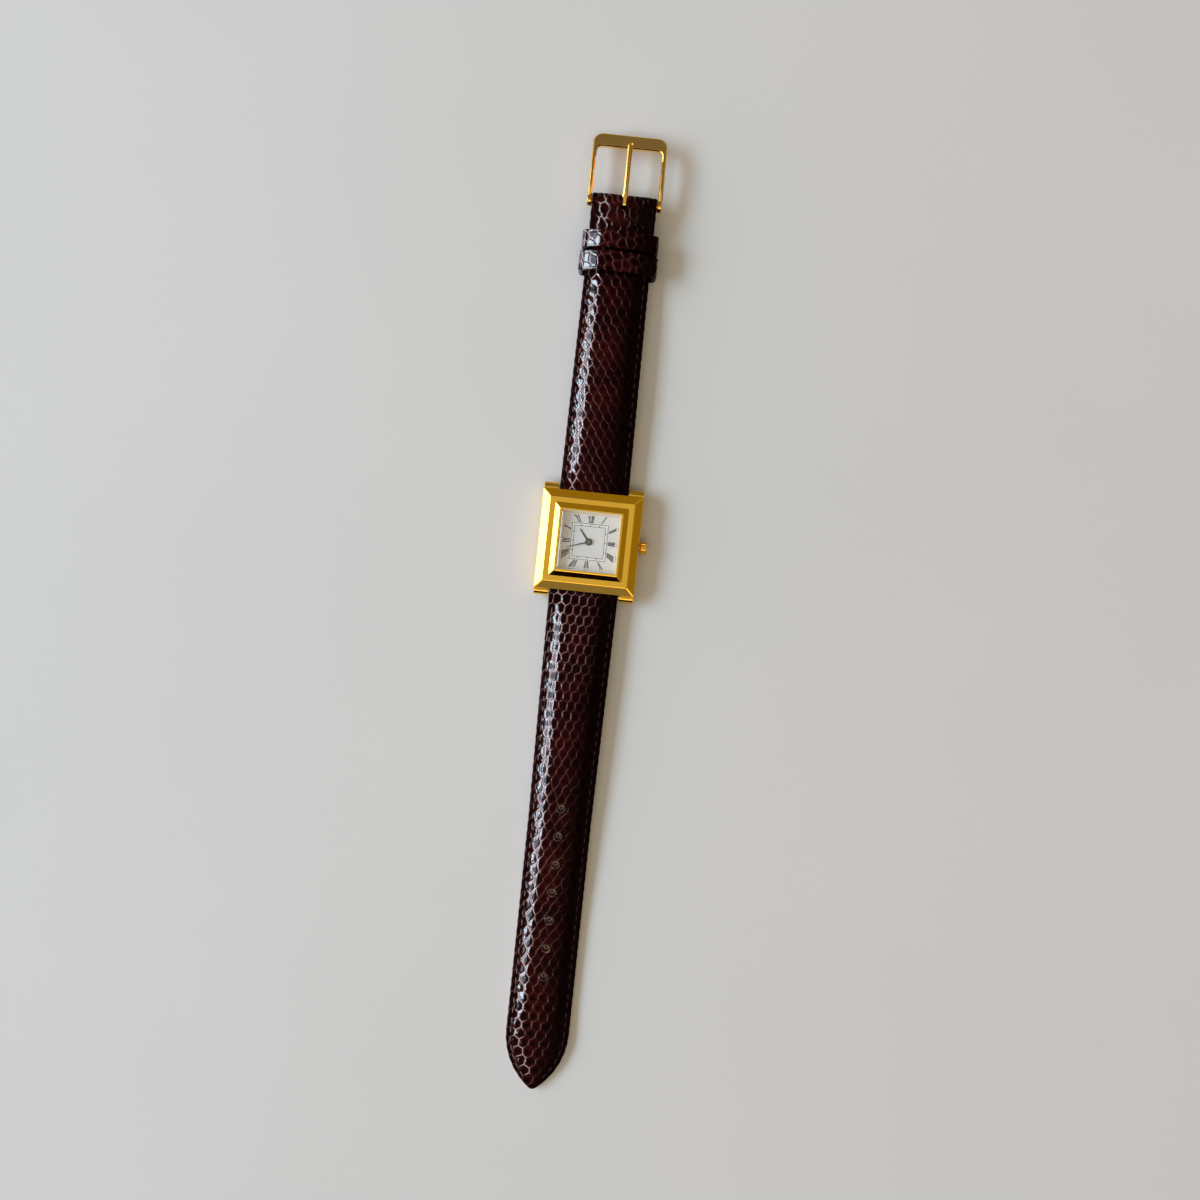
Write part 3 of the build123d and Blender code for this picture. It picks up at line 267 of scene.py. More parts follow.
def grain_material(name):
    """Glazed lizard leather. The scales, the lines between them and the glaze are on the mesh.

    The numbers on the mesh: border is the distance to the nearest line in millimetres, tone each scale's
    own shade, glaze how polished the surface is, then how red the scales are, painted redder towards the
    window as a painted highlight, how pale the lines are, painted paler on their sides that face the
    window, and where the lines are painted pale grey as a highlight on the shoulder that faces the window.
    """
    m = Nodes(name, Specular_IOR_Level=0.02, Coat_Roughness=0.1, Coat_IOR=1.88)
    border = m.attribute("border")
    painted_light_red = m.attribute("painted_light_red")
    blotch = m.noise(150.0, 4.0)
    heart = m.ramp(m.attribute("tone"), (0.0, (0.0012, 0.0003, 0.0004)), (1.0, (0.0080, 0.0012, 0.0014)))
    ring = m.ramp(blotch, (0.35, (0.0150, 0.0018, 0.0022)), (0.7, (0.0500, 0.0050, 0.0045)))
    # Away from the window side the scales are painted darker: painted shade, with their red as painted
    # light
    ring = m.mix(painted_light_red, (0.0045, 0.0007, 0.0009), ring)
    scales = m.mix(m.ramp(border, (0.26, 0.0), (0.70, 1.0)), ring, heart)
    lines = m.ramp(m.noise(700.0), (0.35, (0.045, 0.014, 0.014)), (0.65, (0.30, 0.145, 0.14)))
    # The lines are painted pale where they face the window and dark elsewhere: a painted highlight
    lines = m.mix(m.attribute("line"), (0.010, 0.0020, 0.0022), lines)
    # Pale grey lines painted where the shoulder facing the window glints: a painted highlight
    painted_glint_share = m.ramp(m.attribute("painted_glint_lines"), (0.0, 0.0), (1.0, 0.75))
    lines = m.mix(painted_glint_share, lines, (0.62, 0.49, 0.52))
    m.feed("Base Color", m.mix(m.ramp(border, (0.04, 1.0), (0.13, 0.0)), scales, lines))
    m.feed("Roughness", m.ramp(border, (0.05, 0.5), (0.3, 0.32)))
    groove = m.ramp(border, (0.03, 0.25), (0.12, 1.0))
    m.feed("Coat Weight", m.maths("MULTIPLY", m.attribute("glaze"), groove))
    creases = m.noise(1100.0, 5.0)
    normal = m.bump(creases, 0.06 * MM, 0.5)
    pores = m.bump(m.noise(6500.0, 3.0), 0.006 * MM, 0.5, normal)
    m.feed("Normal", pores)
    m.feed("Coat Normal", pores)
    return m.material


def lining_material(name):
    """Undyed matt calf lining with pores."""
    m = Nodes(name, Specular_IOR_Level=0.3)
    m.wander("Base Color", 240.0, (0.46, 0.30, 0.20), (0.62, 0.44, 0.32), 5.0)
    m.wander("Roughness", 800.0, 0.62, 0.8)
    pores = m.pattern("ShaderNodeTexVoronoi", "Distance", Scale=4200.0)
    m.feed("Normal", m.bump(pores, 0.03 * MM, 0.6))
    return m.material


def thread_material(name):
    """Twisted sewing thread; the row that faces the window is painted lighter as a highlight."""
    m = Nodes(name, Specular_IOR_Level=0.15)
    twist = m.pattern("ShaderNodeTexWave", "Fac", bands_direction="DIAGONAL", Scale=2600.0)
    dyed = m.ramp(twist, (0.2, (0.012, 0.004, 0.004)), (0.8, (0.045, 0.018, 0.017)))
    painted_lit_thread = m.ramp(twist, (0.2, (0.10, 0.06, 0.06)), (0.8, (0.30, 0.21, 0.21)))
    # The row on the side away from the crown, which faces the window, is painted lighter: a painted
    # highlight
    place = m.node("ShaderNodeSeparateXYZ")
    m.link(m.place(), place.inputs[0])
    crown_side = m.maths("GREATER_THAN", place.outputs["X"], 0.0)
    m.feed("Base Color", m.mix(crown_side, painted_lit_thread, dyed))
    m.wander("Roughness", 2500.0, 0.35, 0.5)
    m.feed("Normal", m.bump(twist, 0.03 * MM))
    return m.material


MATERIALS = {
    "gold": gold_material("polished_gold"),
    "steel": steel_material("brushed_steel"),
    "glass": glass_material("crystal_glass"),
    "dial_silver": dial_material("silvered_dial"),
    "hand_grey": plain_material(
        "hand_grey", (0.035, 0.035, 0.042), (0.06, 0.06, 0.07), 0.3, metallic=0.6, depth=0.002
    ),
    "leather_dark": grain_material("lizard_leather"),
    "leather_lining": lining_material("calf_lining"),
    "padding": plain_material("felt", (0.60, 0.57, 0.50), (0.75, 0.72, 0.66), 0.9, depth=0.05),
    "rubber": plain_material("gasket_rubber", (0.02, 0.02, 0.02), (0.035, 0.035, 0.035), 0.6),
    "holder_plastic": plain_material("holder_plastic", (0.70, 0.70, 0.67), (0.80, 0.80, 0.78), 0.45),
    "brass": brass_material("movement_brass"),
    "copper": wound_material("copper_winding"),
    "board": plain_material("board_green", (0.02, 0.16, 0.07), (0.03, 0.24, 0.11), 0.3),
    "can": steel_material("can_nickel", (0.72, 0.70, 0.66), 0.15, (1.0, 1.0, 20.0)),
}
INK = plain_material("dial_ink", (0.020, 0.020, 0.026), (0.035, 0.035, 0.042), 0.35, depth=0.002)
TRACK_WHITE = plain_material("track_white", (0.88, 0.88, 0.89), (0.93, 0.93, 0.94), 0.4, depth=0.002)
THREAD = thread_material("sewing_thread")
BUCKLE_GOLD = gold_material("buckle_gold", 0.13, 0.07, 0.07)
PINION_STEEL = steel_material("pinion_steel", (0.22, 0.22, 0.19), 0.3)


def dress_nodes():
    """Gives every CAD node the material of its slot."""
    for part in frame["record"]["subparts"]:
        data = NODES[part["node"]].data
        data.materials.clear()
        data.materials.append(MATERIALS[part["material_slot"]])
    for node in ("cannon_pinion", "centre_wheel"):
        NODES[node].data.materials[0] = PINION_STEEL
    NODES["buckle_frame"].data.materials[0] = BUCKLE_GOLD


# Mesh helpers


def add_object(name, data):
    """Puts an object with the given mesh, light or camera into the scene."""
    made = bpy.data.objects.new(name, data)
    bpy.context.scene.collection.objects.link(made)
    return made


def mesh_piece(name, points, faces, material, body, smooth_shading=True):
    """A mesh object from points and faces, riding on a body."""
    mesh = bpy.data.meshes.new(name)
    mesh.from_pydata(np.asarray(points, float).tolist(), [], [tuple(map(int, f)) for f in faces])
    mesh.update()
    mesh.materials.append(material)
    if smooth_shading:
        mesh.shade_smooth()
    piece = add_object(name, mesh)
    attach(piece, body)
    return piece


GLAZE_SLOPE = (0.32, 0.46)


def slope_glaze(rise, across):
    """How polished the leather is: the glaze is left on slopes that face away from the crown."""
    slope = np.diff(rise, axis=1) / np.maximum(np.diff(across, axis=1), 1e-3)
    # A point takes the steeper of the slopes at its two sides
    sides = np.pad(slope, ((0, 0), (1, 1)), mode="edge")
    return smooth(np.maximum(sides[:, 1:], sides[:, :-1]), *GLAZE_SLOPE)


def dull_inside(border, tone, limit):
    """Where scales with a tone below a limit have lost their glaze, inside their rim."""
    return smooth(border, 0.3, 0.42) * (1 - smooth(tone, limit, limit + 0.08))


def shell(top, bottom, keep, inner, loop=False):
    """Points, faces and top-vertex numbers of a sheet of leather.

    top and bottom are grids of points. keep says which cells of the grid exist, and inner which of
    them also have their underside drawn. Walls close every edge of the kept cells.
    """
    rows, columns = top.shape[:2]
    count = rows * columns
    number = np.arange(count).reshape(rows, columns)
    ahead = np.roll(number, -1, axis=0) if loop else number[1:]
    here = number if loop else number[:-1]
    corners = np.stack([here[:, :-1], here[:, 1:], ahead[:, 1:], ahead[:, :-1]], axis=-1)
    faces = [corners[keep]]
    faces.append(corners[keep & inner][:, ::-1] + count)
    sides = []
    padded = np.zeros((keep.shape[0] + 2, keep.shape[1] + 2), bool)
    padded[1:-1, 1:-1] = keep
    if loop:
        padded[0, 1:-1], padded[-1, 1:-1] = keep[-1], keep[0]
    for (a, b), (di, dj) in (((0, 1), (-1, 0)), ((1, 2), (0, 1)), ((2, 3), (1, 0)), ((3, 0), (0, -1))):
        outside = ~padded[1 + di : 1 + di + keep.shape[0], 1 + dj : 1 + dj + keep.shape[1]]
        edge = corners[keep & outside]
        sides.append(np.stack([edge[:, b], edge[:, a], edge[:, a] + count, edge[:, b] + count], axis=-1))
    faces = np.concatenate(faces + sides)
    points = np.concatenate([top.reshape(-1, 3), bottom.reshape(-1, 3)])
    used = np.unique(faces)
    renumber = np.full(2 * count, -1)
    renumber[used] = np.arange(len(used))
    return points[used], renumber[faces], used, count


def ring_faces(rings, around, base=0, closed=False):
    """The four-sided faces between rings of points."""
    faces = []
    for k in range(rings if closed else rings - 1):
        here, ahead = base + k * around, base + (k + 1) % rings * around
        for n in range(around):
            turned = (n + 1) % around
            faces.append((here + n, here + turned, ahead + turned, ahead + n))
    return faces


def turned_over(faces):
    """The same faces, seen from their other side."""
    return [face[:1] + face[:0:-1] for face in faces]


def grained_piece(name, body, sheet, values, loop=False):
    """A sheet of grained leather with the numbers that its material reads at each vertex.

    The numbers are those of the top grid. The cut edges and the inside are plain and dull.
    """
    points, faces, used, count = shell(*sheet, loop=loop)
    # A loop's rows run the other way round, so its faces are turned over
    faces = faces[:, ::-1] if loop else faces
    piece = mesh_piece(name, points, faces, MATERIALS["leather_dark"], body)
    for key, grid in zip(("border", "tone", "glaze", "painted_light_red", "line", "painted_glint_lines"), values):
        hidden = np.full(count, 0.9 if key == "border" else 0.0)
        flat = np.concatenate([grid.reshape(-1), hidden])[used]
        piece.data.attributes.new(key, "FLOAT", "POINT").data.foreach_set("value", flat.astype(np.float32))
    return piece


# Lizard grain

SEEDS = rng.uniform(-1, 1, (128, 64, 3))


def scales_around(q, r, width, height, jitter):
    """Where the nearest scales lie from each place, in millimetres, and their tones."""
    base_row = np.floor(r + 0.5).astype(int)
    found = []
    for i in (base_row + step for step in range(-2, 3)):
        offset = 0.5 * (i % 2)
        base_column = np.floor(q - offset + 0.5).astype(int)
        for j in (base_column + step for step in range(-1, 2)):
            seed = SEEDS[i % 128, j % 64]
            dx = (j + offset + jitter * seed[:, 0] - q) * width
            dy = (i + jitter * seed[:, 1] - r) * height
            found.append((dx, dy, seed[:, 2]))
    return [np.array(values) for values in zip(*found)]


def scale_grain(across, column, row, squeeze, lean, jitter=0.13):
    """Distance to the nearest border between scales, each scale's own tone, and where it faces.

    The distance is in millimetres. The last two are the direction towards the nearest other scale.

    across is the place across the leather, column the width of a scale, row the place counted in
    rows, squeeze the height of a row, and lean how far the columns have slid sideways. Scales sit
    in rows, each offset by half a column from the one before.
    """
    shape = across.shape
    q = ((across + lean) / column).ravel()
    width = np.broadcast_to(column, shape).ravel()
    dx, dy, tones = scales_around(q, row.ravel(), width, squeeze.ravel(), jitter)
    squares = dx * dx + dy * dy
    nearest = squares.argmin(0)
    pick = np.arange(squares.shape[1])
    ax, ay, best = dx[nearest, pick], dy[nearest, pick], squares[nearest, pick]
    gap = np.hypot(dx - ax, dy - ay)
    border = (squares - best) / np.maximum(2 * gap, 1e-6)
    border[nearest, pick] = 1e3
    border = np.maximum(border, 1e-4)
    other = border.argmin(0)
    reach = gap[other, pick]
    sideways, onward = (dx[other, pick] - ax) / reach, (dy[other, pick] - ay) / reach
    # A soft minimum rounds the corners of the scales
    rounded = (border**-5.0).sum(0) ** (-1 / 5.0)
    tone = 0.5 + 0.5 * tones[nearest, pick]
    return tuple(grid.reshape(shape) for grid in (rounded, tone, sideways, onward))


def straight_slope(value, low, high, corner=0.2):
    """From 0 at low to 1 at high along a straight slope with rounded corners."""
    t = np.clip((value - low) / (high - low), 0, 1)
    steep = 1 / (1 - corner)
    foot = t * t / (2 * corner) * steep
    head = 1 - (1 - t) ** 2 / (2 * corner) * steep
    return np.where(t < corner, foot, np.where(t > 1 - corner, head, (t - corner / 2) * steep))


def pillow(border, height, reach=0.55):
    """The swell of a scale above the lines round it."""
    share = np.clip(border / reach, 0, 1)
    return height * (1 - (1 - share) ** 2.4)


# Strap halves

GRID = 0.125
EDGE_ROUND = 0.38
STITCH_INSET = 1.05
STITCH_PITCH = 2.2
STITCH_GROOVE = 0.06
SHOULDER_START = 1.6
SHOULDER_END = 3.6
MARGIN_THICKNESS = 2.9
PAD_HEIGHT, PAD_SWELL = 0.2, 0.46
SCALE_HEIGHT = 0.14
BUTTON_HEIGHT = 0.09
RIM_HEIGHT = 0.09
BAR_DIP = 0.32


def curve(places, values, at):
    """A smooth curve through the given values, without overshoot."""
    places, values = np.asarray(places, float), np.asarray(values, float)
    steps = np.diff(places)
    slopes = np.diff(values) / steps
    tangents = np.zeros(len(values))
    tangents[0], tangents[-1] = slopes[0], slopes[-1]
    same = slopes[:-1] * slopes[1:] > 0
    mean = 2 * slopes[:-1] * slopes[1:] / np.where(same, slopes[:-1] + slopes[1:], 1)
    tangents[1:-1] = np.where(same, mean, 0)
    at = np.clip(at, places[0], places[-1])
    k = np.clip(np.searchsorted(places, at) - 1, 0, len(steps) - 1)
    t = (at - places[k]) / steps[k]
    h = steps[k]
    return (
        (2 * t**3 - 3 * t**2 + 1) * values[k]
        + (t**3 - 2 * t**2 + t) * h * tangents[k]
        + (3 * t**2 - 2 * t**3) * values[k + 1]
        + (t**3 - t**2) * h * tangents[k + 1]
    )


class Half:
    """The numbers of one strap half, in millimetres along it from its spring bar."""

    lining = 0.75
    loop_radius = 1.55
    bore = 0.81
    lug_width = 15.45

    def __init__(self, side, reach, end_width, taper, lift, places, *heights):
        self.side, self.reach, self.end_width, self.taper = side, reach, end_width, taper
        self.places = np.array(places) * reach
        self.low, self.edge, self.crown = map(self.line, (lift, MARGIN_THICKNESS, 1.0), heights)

    def line(self, full, shares):
        """A height along the strap, from its full value and the shares of it at the places."""
        heights = np.array(shares) * full
        return lambda s: curve(self.places, heights, s)

    def half_width(self, s):
        share = np.clip(s / self.taper, 0, 1)
        width = (self.lug_width + (self.end_width - self.lug_width) * share) / 2
        if self is LONG:
            return np.where(s > self.reach - TIP_LENGTH, tip_half_width(s), width)
        return width

    def point(self, x, s, z):
        """World places, in metres."""
        y = self.side * (BAR_Y + s)
        return np.stack(np.broadcast_arrays(x, y, z), axis=-1) * MM


LONG = Half(
    -1, 112.0, 14.15, 51.0, 0.9,
    (0.03, 0.08, 0.2, 0.38, 0.56, 0.68, 0.85, 1.0),
    (0.55, 0.75, 1.0, 0.85, 0.35, 0.0, 0.0, 0.0),
    (1.0, 0.95, 0.86, 0.78, 0.7, 0.65, 0.6, 0.55),
    (0.55, 0.9, 1.0, 0.8, 0.5, 0.4, 0.3, 0.2),
)
SHORT = Half(
    1, 64.45, 14.5, 52.0, 1.4,
    (0.05, 0.14, 0.35, 0.6, 0.75, 0.86, 0.94, 1.0),
    (0.36, 0.57, 0.93, 1.0, 0.92, 0.9, 1.07, 1.36),
    (1.0, 0.95, 0.86, 0.78, 0.72, 0.7, 0.83, 1.03),
    (0.55, 0.9, 1.0, 0.7, 0.4, 0.3, 0.2, 0.1),
)
TIP_LENGTH = 12.8
TIP_NOSE = 1.6
HOLE_RADIUS = 0.72
HOLE_RIM = 0.15
COLLAR_HOLE = 0.22
COLLAR_DEPTH = 0.2
LAST_HOLE, HOLE_PITCH = 25.8, 6.33
HOLES = [LONG.reach - LAST_HOLE - HOLE_PITCH * k for k in range(7)]
FOLD_RADIUS = 1.75
FOLD_BORE = 0.78
LINING_START = 2.0
STITCH_START = 4.5
SLOT_HALF = 0.66
COLLAR_REACH = 1.2
COLLAR_RADIUS = 1.34
SLOT_LENGTH = 3.6


def tip_half_width(s):
    """The long strap's half width where it narrows to its rounded point."""
    half = LONG.end_width / 2
    start = LONG.reach - TIP_LENGTH
    # An arc through the root, the shoulder and the start of the nose
    slope = math.radians(45)
    points = (
        (start, half),
        (start + 0.55 * TIP_LENGTH, 0.76 * half),
        (LONG.reach - TIP_NOSE * (1 - math.cos(slope)), TIP_NOSE * math.sin(slope)),
    )
    (x1, y1), (x2, y2), (x3, y3) = points
    d = 2 * (x1 * (y2 - y3) + x2 * (y3 - y1) + x3 * (y1 - y2))
    q1, q2, q3 = x1 * x1 + y1 * y1, x2 * x2 + y2 * y2, x3 * x3 + y3 * y3
    cx = (q1 * (y2 - y3) + q2 * (y3 - y1) + q3 * (y1 - y2)) / d
    cy = (q1 * (x3 - x2) + q2 * (x1 - x3) + q3 * (x2 - x1)) / d
    radius = math.hypot(x1 - cx, y1 - cy)
    arc = cy + np.sqrt(np.maximum(radius**2 - (s - cx) ** 2, 0))
    nose = np.sqrt(np.maximum(TIP_NOSE**2 - (s - LONG.reach + TIP_NOSE) ** 2, 0))
    return np.where(s < start, half, np.where(s < points[2][0], np.minimum(arc, half), nose))


def columns_across(near=(0, 0.02, 0.06, 0.12, 0.2, 0.3, 0.42, 0.55), step=GRID):
    """Places from -1 to 1 across the strap. near lists the insets close to its edges."""
    half = Half.lug_width / 2
    inset = np.concatenate([near[:-1], np.arange(near[-1], half, step)])
    left = -1 + inset / half
    return np.concatenate([left, [0], -left[::-1]])


def bend_rows(s, z, radius, bore, angles):
    """The rows round a bend about a place and level, a little wider apart than the grid."""
    count = int(abs(angles[1] - angles[0]) * radius / GRID / 1.2)
    rows = []
    for angle in np.linspace(*angles, count, endpoint=False):
        c, n = math.cos(angle), math.sin(angle)
        rows.append((s + radius * c, z + radius * n, s + bore * c, z + bore * n, c, n))
    return rows


def close_up(s, count, gap):
    """Rows along the long half that lie closer together towards the end of its tip."""
    tail = LONG.reach - 1.2 * (1 - np.linspace(0, 0.985, count)) ** 2
    return np.concatenate([s[s < tail[0] - gap], tail])


def strap_lines(half):
    """The rows of a strap half's upper: its margin line and inner line in side view, with normals.

    Each row has the place along the strap, the level, the inner place and level, and the normal.
    """
    rows = []
    # Under the loop, from where the lining starts, round the spring bar, to its top
    for s in np.linspace(LINING_START, 0, 8, endpoint=False):
        rows.append((s, BAR_Z - half.loop_radius, s, BAR_Z - half.bore, 0, -1))
    rows += bend_rows(0, BAR_Z, half.loop_radius, half.bore, (1.5 * math.pi, 0.5 * math.pi))
    stop = half.reach
    s = np.arange(0, stop, GRID)
    if half is LONG:
        s = close_up(s, 16, 0.05)
    margin = half.low(s) + half.edge(s)
    loop_top = BAR_Z + half.loop_radius
    margin = loop_top + (margin - loop_top) * smooth(s, 0.0, 5.5)
    inner = half.low(s) + half.lining
    bore_top = BAR_Z + half.bore
    inner = bore_top + (inner - bore_top) * smooth(s, 0.0, 2.5)
    if half is SHORT:
        top = BUCKLE_BAR_Z + FOLD_RADIUS
        margin = margin + (top - margin) * smooth(s, stop - 7, stop)
        inner = inner + (BUCKLE_BAR_Z + FOLD_BORE - inner) * smooth(s, stop - 4, stop)
    slope = np.gradient(margin, s)
    length = np.hypot(1, slope)
    rows += list(zip(s, margin, s, inner, -slope / length, 1 / length))
    if half is SHORT:
        z = BUCKLE_BAR_Z
        rows += bend_rows(stop, z, FOLD_RADIUS, FOLD_BORE, (0.5 * math.pi, -0.5 * math.pi))
        low = z - FOLD_RADIUS
        for back in np.arange(0, 3.9, 0.3):
            under = half.low(stop - back)
            level = low + (under - low) * float(smooth(back, 0, 3.6))
            rows.append((stop - back, level, stop - back, z - FOLD_BORE, 0, -1))
    return np.array(rows)


def tip_lean(half_width, s):
    """How fast the long half's outline closes in along its tip, and 0 before it."""
    steps = np.maximum(s, -9) + 1e-9 * np.arange(len(s))
    closing = np.clip(np.abs(np.gradient(half_width, steps)), 0, 6)
    return np.where(s > LONG.reach - TIP_LENGTH, closing, 0)


def outside_holes(x, s):
    """Which cells of a grid lie clear of the punched holes."""
    centre_x, centre_s = (x[:-1, :-1] + x[1:, 1:]) / 2, (s[:-1, :-1] + s[1:, 1:]) / 2
    clear = np.ones(centre_x.shape, bool)
    for hole in HOLES:
        clear &= np.hypot(centre_x, centre_s - hole) > HOLE_RADIUS
    return clear


def round_holes(x, s, keep):
    """Moves the points round each hole onto its circle."""
    around = np.zeros((x.shape[0] + 1, x.shape[1] + 1), int)
    around[1:-1, 1:-1] = np.where(keep, 1, -1)
    near_four = [around[a : a + x.shape[0], b : b + x.shape[1]] for a in (0, 1) for b in (0, 1)]
    on_edge = (np.max(near_four, axis=0) == 1) & (np.min(near_four, axis=0) == -1)
    for hole in HOLES:
        distance = np.hypot(x, s - hole)
        mine = on_edge & (distance < 2 * HOLE_RADIUS)
        factor = np.where(mine, HOLE_RADIUS / np.maximum(distance, 0.01), 1)
        x, s = x * factor, hole + (s - hole) * factor
    return x, s


def strap_rise(half, s, lies_flat, grid):
    """How far the leather stands above the line of its margin: padding, scales and stitching."""
    _, share, inset, along, border, tone = grid
    padded = smooth(s, 0.5, 7.5) * (1 - smooth(s, half.reach - 22, half.reach - 10))
    crown = half.crown(s) * smooth(s, 0, 5)
    if half is SHORT:
        padded = padded * (1 - smooth(s, half.reach - 16, half.reach - 9))
        crown = crown * (1 - smooth(s, half.reach - 6, half.reach))
    pad_height = (PAD_HEIGHT + PAD_SWELL * padded) * lies_flat * smooth(s, -0.2, 2)
    rise = pad_height * (straight_slope(inset, SHOULDER_START, SHOULDER_END) - 0.55)
    rise = rise + crown * lies_flat * (1 - share**2) * 0.85
    rise = rise - 0.15 * crown * lies_flat
    groove = np.exp(-(((inset - STITCH_INSET) / 0.3) ** 2))
    rise = rise - STITCH_GROOVE * groove * smooth(along, 1.0, 3.0)
    margin_flat = 0.55 + 0.45 * smooth(inset, 1.2, 2.4)
    rise = rise + pillow(border, SCALE_HEIGHT) * margin_flat * smooth(inset, 0.05, 0.7)
    # On the shoulders some scales have a small button in their middle
    buttons = smooth(tone, 0.3, 0.6) * shoulders(inset) * smooth(border, 0.4, 0.65)
    rise = rise + BUTTON_HEIGHT * buttons
    # The leather is stretched smooth where it turns round the spring bar
    rise = rise - BAR_DIP * (1 - smooth(s, 1.0, 4.5))
    edge = np.clip(EDGE_ROUND - inset, 0, EDGE_ROUND)
    return rise - (EDGE_ROUND - np.sqrt(np.maximum(EDGE_ROUND**2 - edge**2, 0)))


def shoulders(inset):
    """Where the padding rises between the stitching and the strap's crown."""
    foot = smooth(inset, SHOULDER_START - 0.3, SHOULDER_START + 0.3)
    return foot * (1 - smooth(inset, SHOULDER_END, SHOULDER_END + 0.6))


def strap_glaze_and_painted_light(half, rise, grid, facing):
    """The glaze, and the painted light: scales painted redder and lines paler towards the window."""
    x, share, inset, along, border, tone = grid
    sideways, onward = facing
    dull_right = 0.7 * smooth(share, 0.1, 0.5) * (1 - smooth(tone, 0.72, 0.8))
    glaze = slope_glaze(rise, x) * (1 - dull_right) * smooth(inset, 0.5, 1.0)
    # On the shoulder away from the crown, which faces the window, the lines are painted pale grey as a
    # highlight, and some scales are dull inside
    window_shoulder = shoulders(inset) * smooth(-share, 0.1, 0.3)
    glaze = glaze * (1 - 0.85 * window_shoulder * dull_inside(border, tone, 0.5))
    # The scales are painted redder and the lines paler towards the window side, a painted highlight; the
    # scales are also darker near the edge
    left = 1 - smooth(share, -0.2, 0.65)
    painted_light_red = left * (0.3 + 0.7 * smooth(inset, 0.9, 1.6))
    # Elsewhere the lines are painted palest on the sides of the scales that face the case and away from
    # the crown, towards the window: a painted highlight
    line = left * (0.06 + 0.94 * smooth(-0.8 * sideways - 0.6 * onward, 0.1, 0.85))
    # On the short half the painted pale lines are fainter, and fainter still towards the buckle
    if half is SHORT:
        return glaze, painted_light_red, line * (0.75 - 0.2 * smooth(along, 52, 58)), window_shoulder
    # Near the case the long half's painted pale lines are stronger, and there they are partly painted pale
    # grey too
    line = line * (1.5 - 0.5 * smooth(along, 6, 26))
    return glaze, painted_light_red, line, np.maximum(window_shoulder, 0.5 * line * (1 - smooth(along, 6, 26)))


def open_slot(x, s):
    """The cells left beside the tongue's slot in the short half's fold, and the moved points."""
    late = SHORT.reach + FOLD_RADIUS - SLOT_LENGTH
    centre_x, centre_s = ((grid[:-1, :-1] + grid[1:, 1:]) / 2 for grid in (x, s))
    keep = (np.abs(centre_x) >= SLOT_HALF) | (centre_s <= late)
    columns = np.abs(columns_across()) * SHORT.end_width / 2
    beside = np.ix_(s[:, 0] > late - 0.2, np.abs(columns - SLOT_HALF) < 0.1)
    x = x.copy()
    x[beside] = np.sign(x[beside]) * SLOT_HALF
    return keep, x, s


def hole_rims(x, s):
    """The rims that stand up round the holes: their share, level and distance from a hole."""
    rims, level = np.zeros(x.shape), np.zeros(x.shape)
    nearest = np.full(x.shape, 1e3)
    for hole in HOLES:
        distance = np.hypot(x, s - hole)
        away = (distance - HOLE_RADIUS - HOLE_RIM) / HOLE_RIM
        rim = np.exp(-(away**2)) * (distance < 3 * HOLE_RADIUS)
        level += RIM_HEIGHT * rim - 0.05 * (distance < HOLE_RADIUS + 0.02)
        rims = np.maximum(rims, rim)
        nearest = np.minimum(nearest, distance)
    return rims, level, nearest


def upper_grid(half, rows):
    """The grid of an upper: across the strap, as a share of its width, from its edge, and along."""
    s, level, normal_z = rows[:, 0], rows[:, 1], rows[:, 5]
    travel = np.concatenate([[0], np.cumsum(np.hypot(np.diff(s), np.diff(level)))])
    travel = travel - travel[int(np.argmax((normal_z > 0.999) & (s >= 0)))]
    half_width = half.half_width(s)
    lean = tip_lean(half_width, s) if half is LONG else np.zeros(len(s))
    # The sewn edge is drawn in a little at each stitch
    scallop = 0.04 * np.cos(2 * math.pi * travel / STITCH_PITCH) * smooth(travel, 4, 8)
    half_width = half_width + np.where(half_width > 3, scallop, 0)
    x = columns_across()[None, :] * half_width[:, None]
    inset = (half_width[:, None] - np.abs(x)) / np.hypot(1, lean)[:, None]
    if half is LONG:
        inset = np.minimum(inset, (LONG.reach - s)[:, None] + 0.02)
    along = np.broadcast_to(travel[:, None], x.shape)
    return x, x / np.maximum(half_width, 0.5)[:, None], inset, along


def underside(half, rows, x, s):
    """The places and levels of an upper's underside."""
    own_s, _, inner_s, inner_z, normal_s, normal_z = (rows[:, k : k + 1] for k in range(6))
    under_s, under_z = inner_s + (s - own_s), inner_z + 0 * x
    if half is SHORT:
        # Over the tongue's collar the leather is thin
        thin = (np.abs(x) < COLLAR_REACH) & (own_s > half.reach - 0.01) & (normal_z > -0.9)
        under_s = np.where(thin, half.reach + COLLAR_RADIUS * normal_s, under_s)
        under_z = np.where(thin, BUCKLE_BAR_Z + COLLAR_RADIUS * normal_z, under_z)
    return under_s, under_z


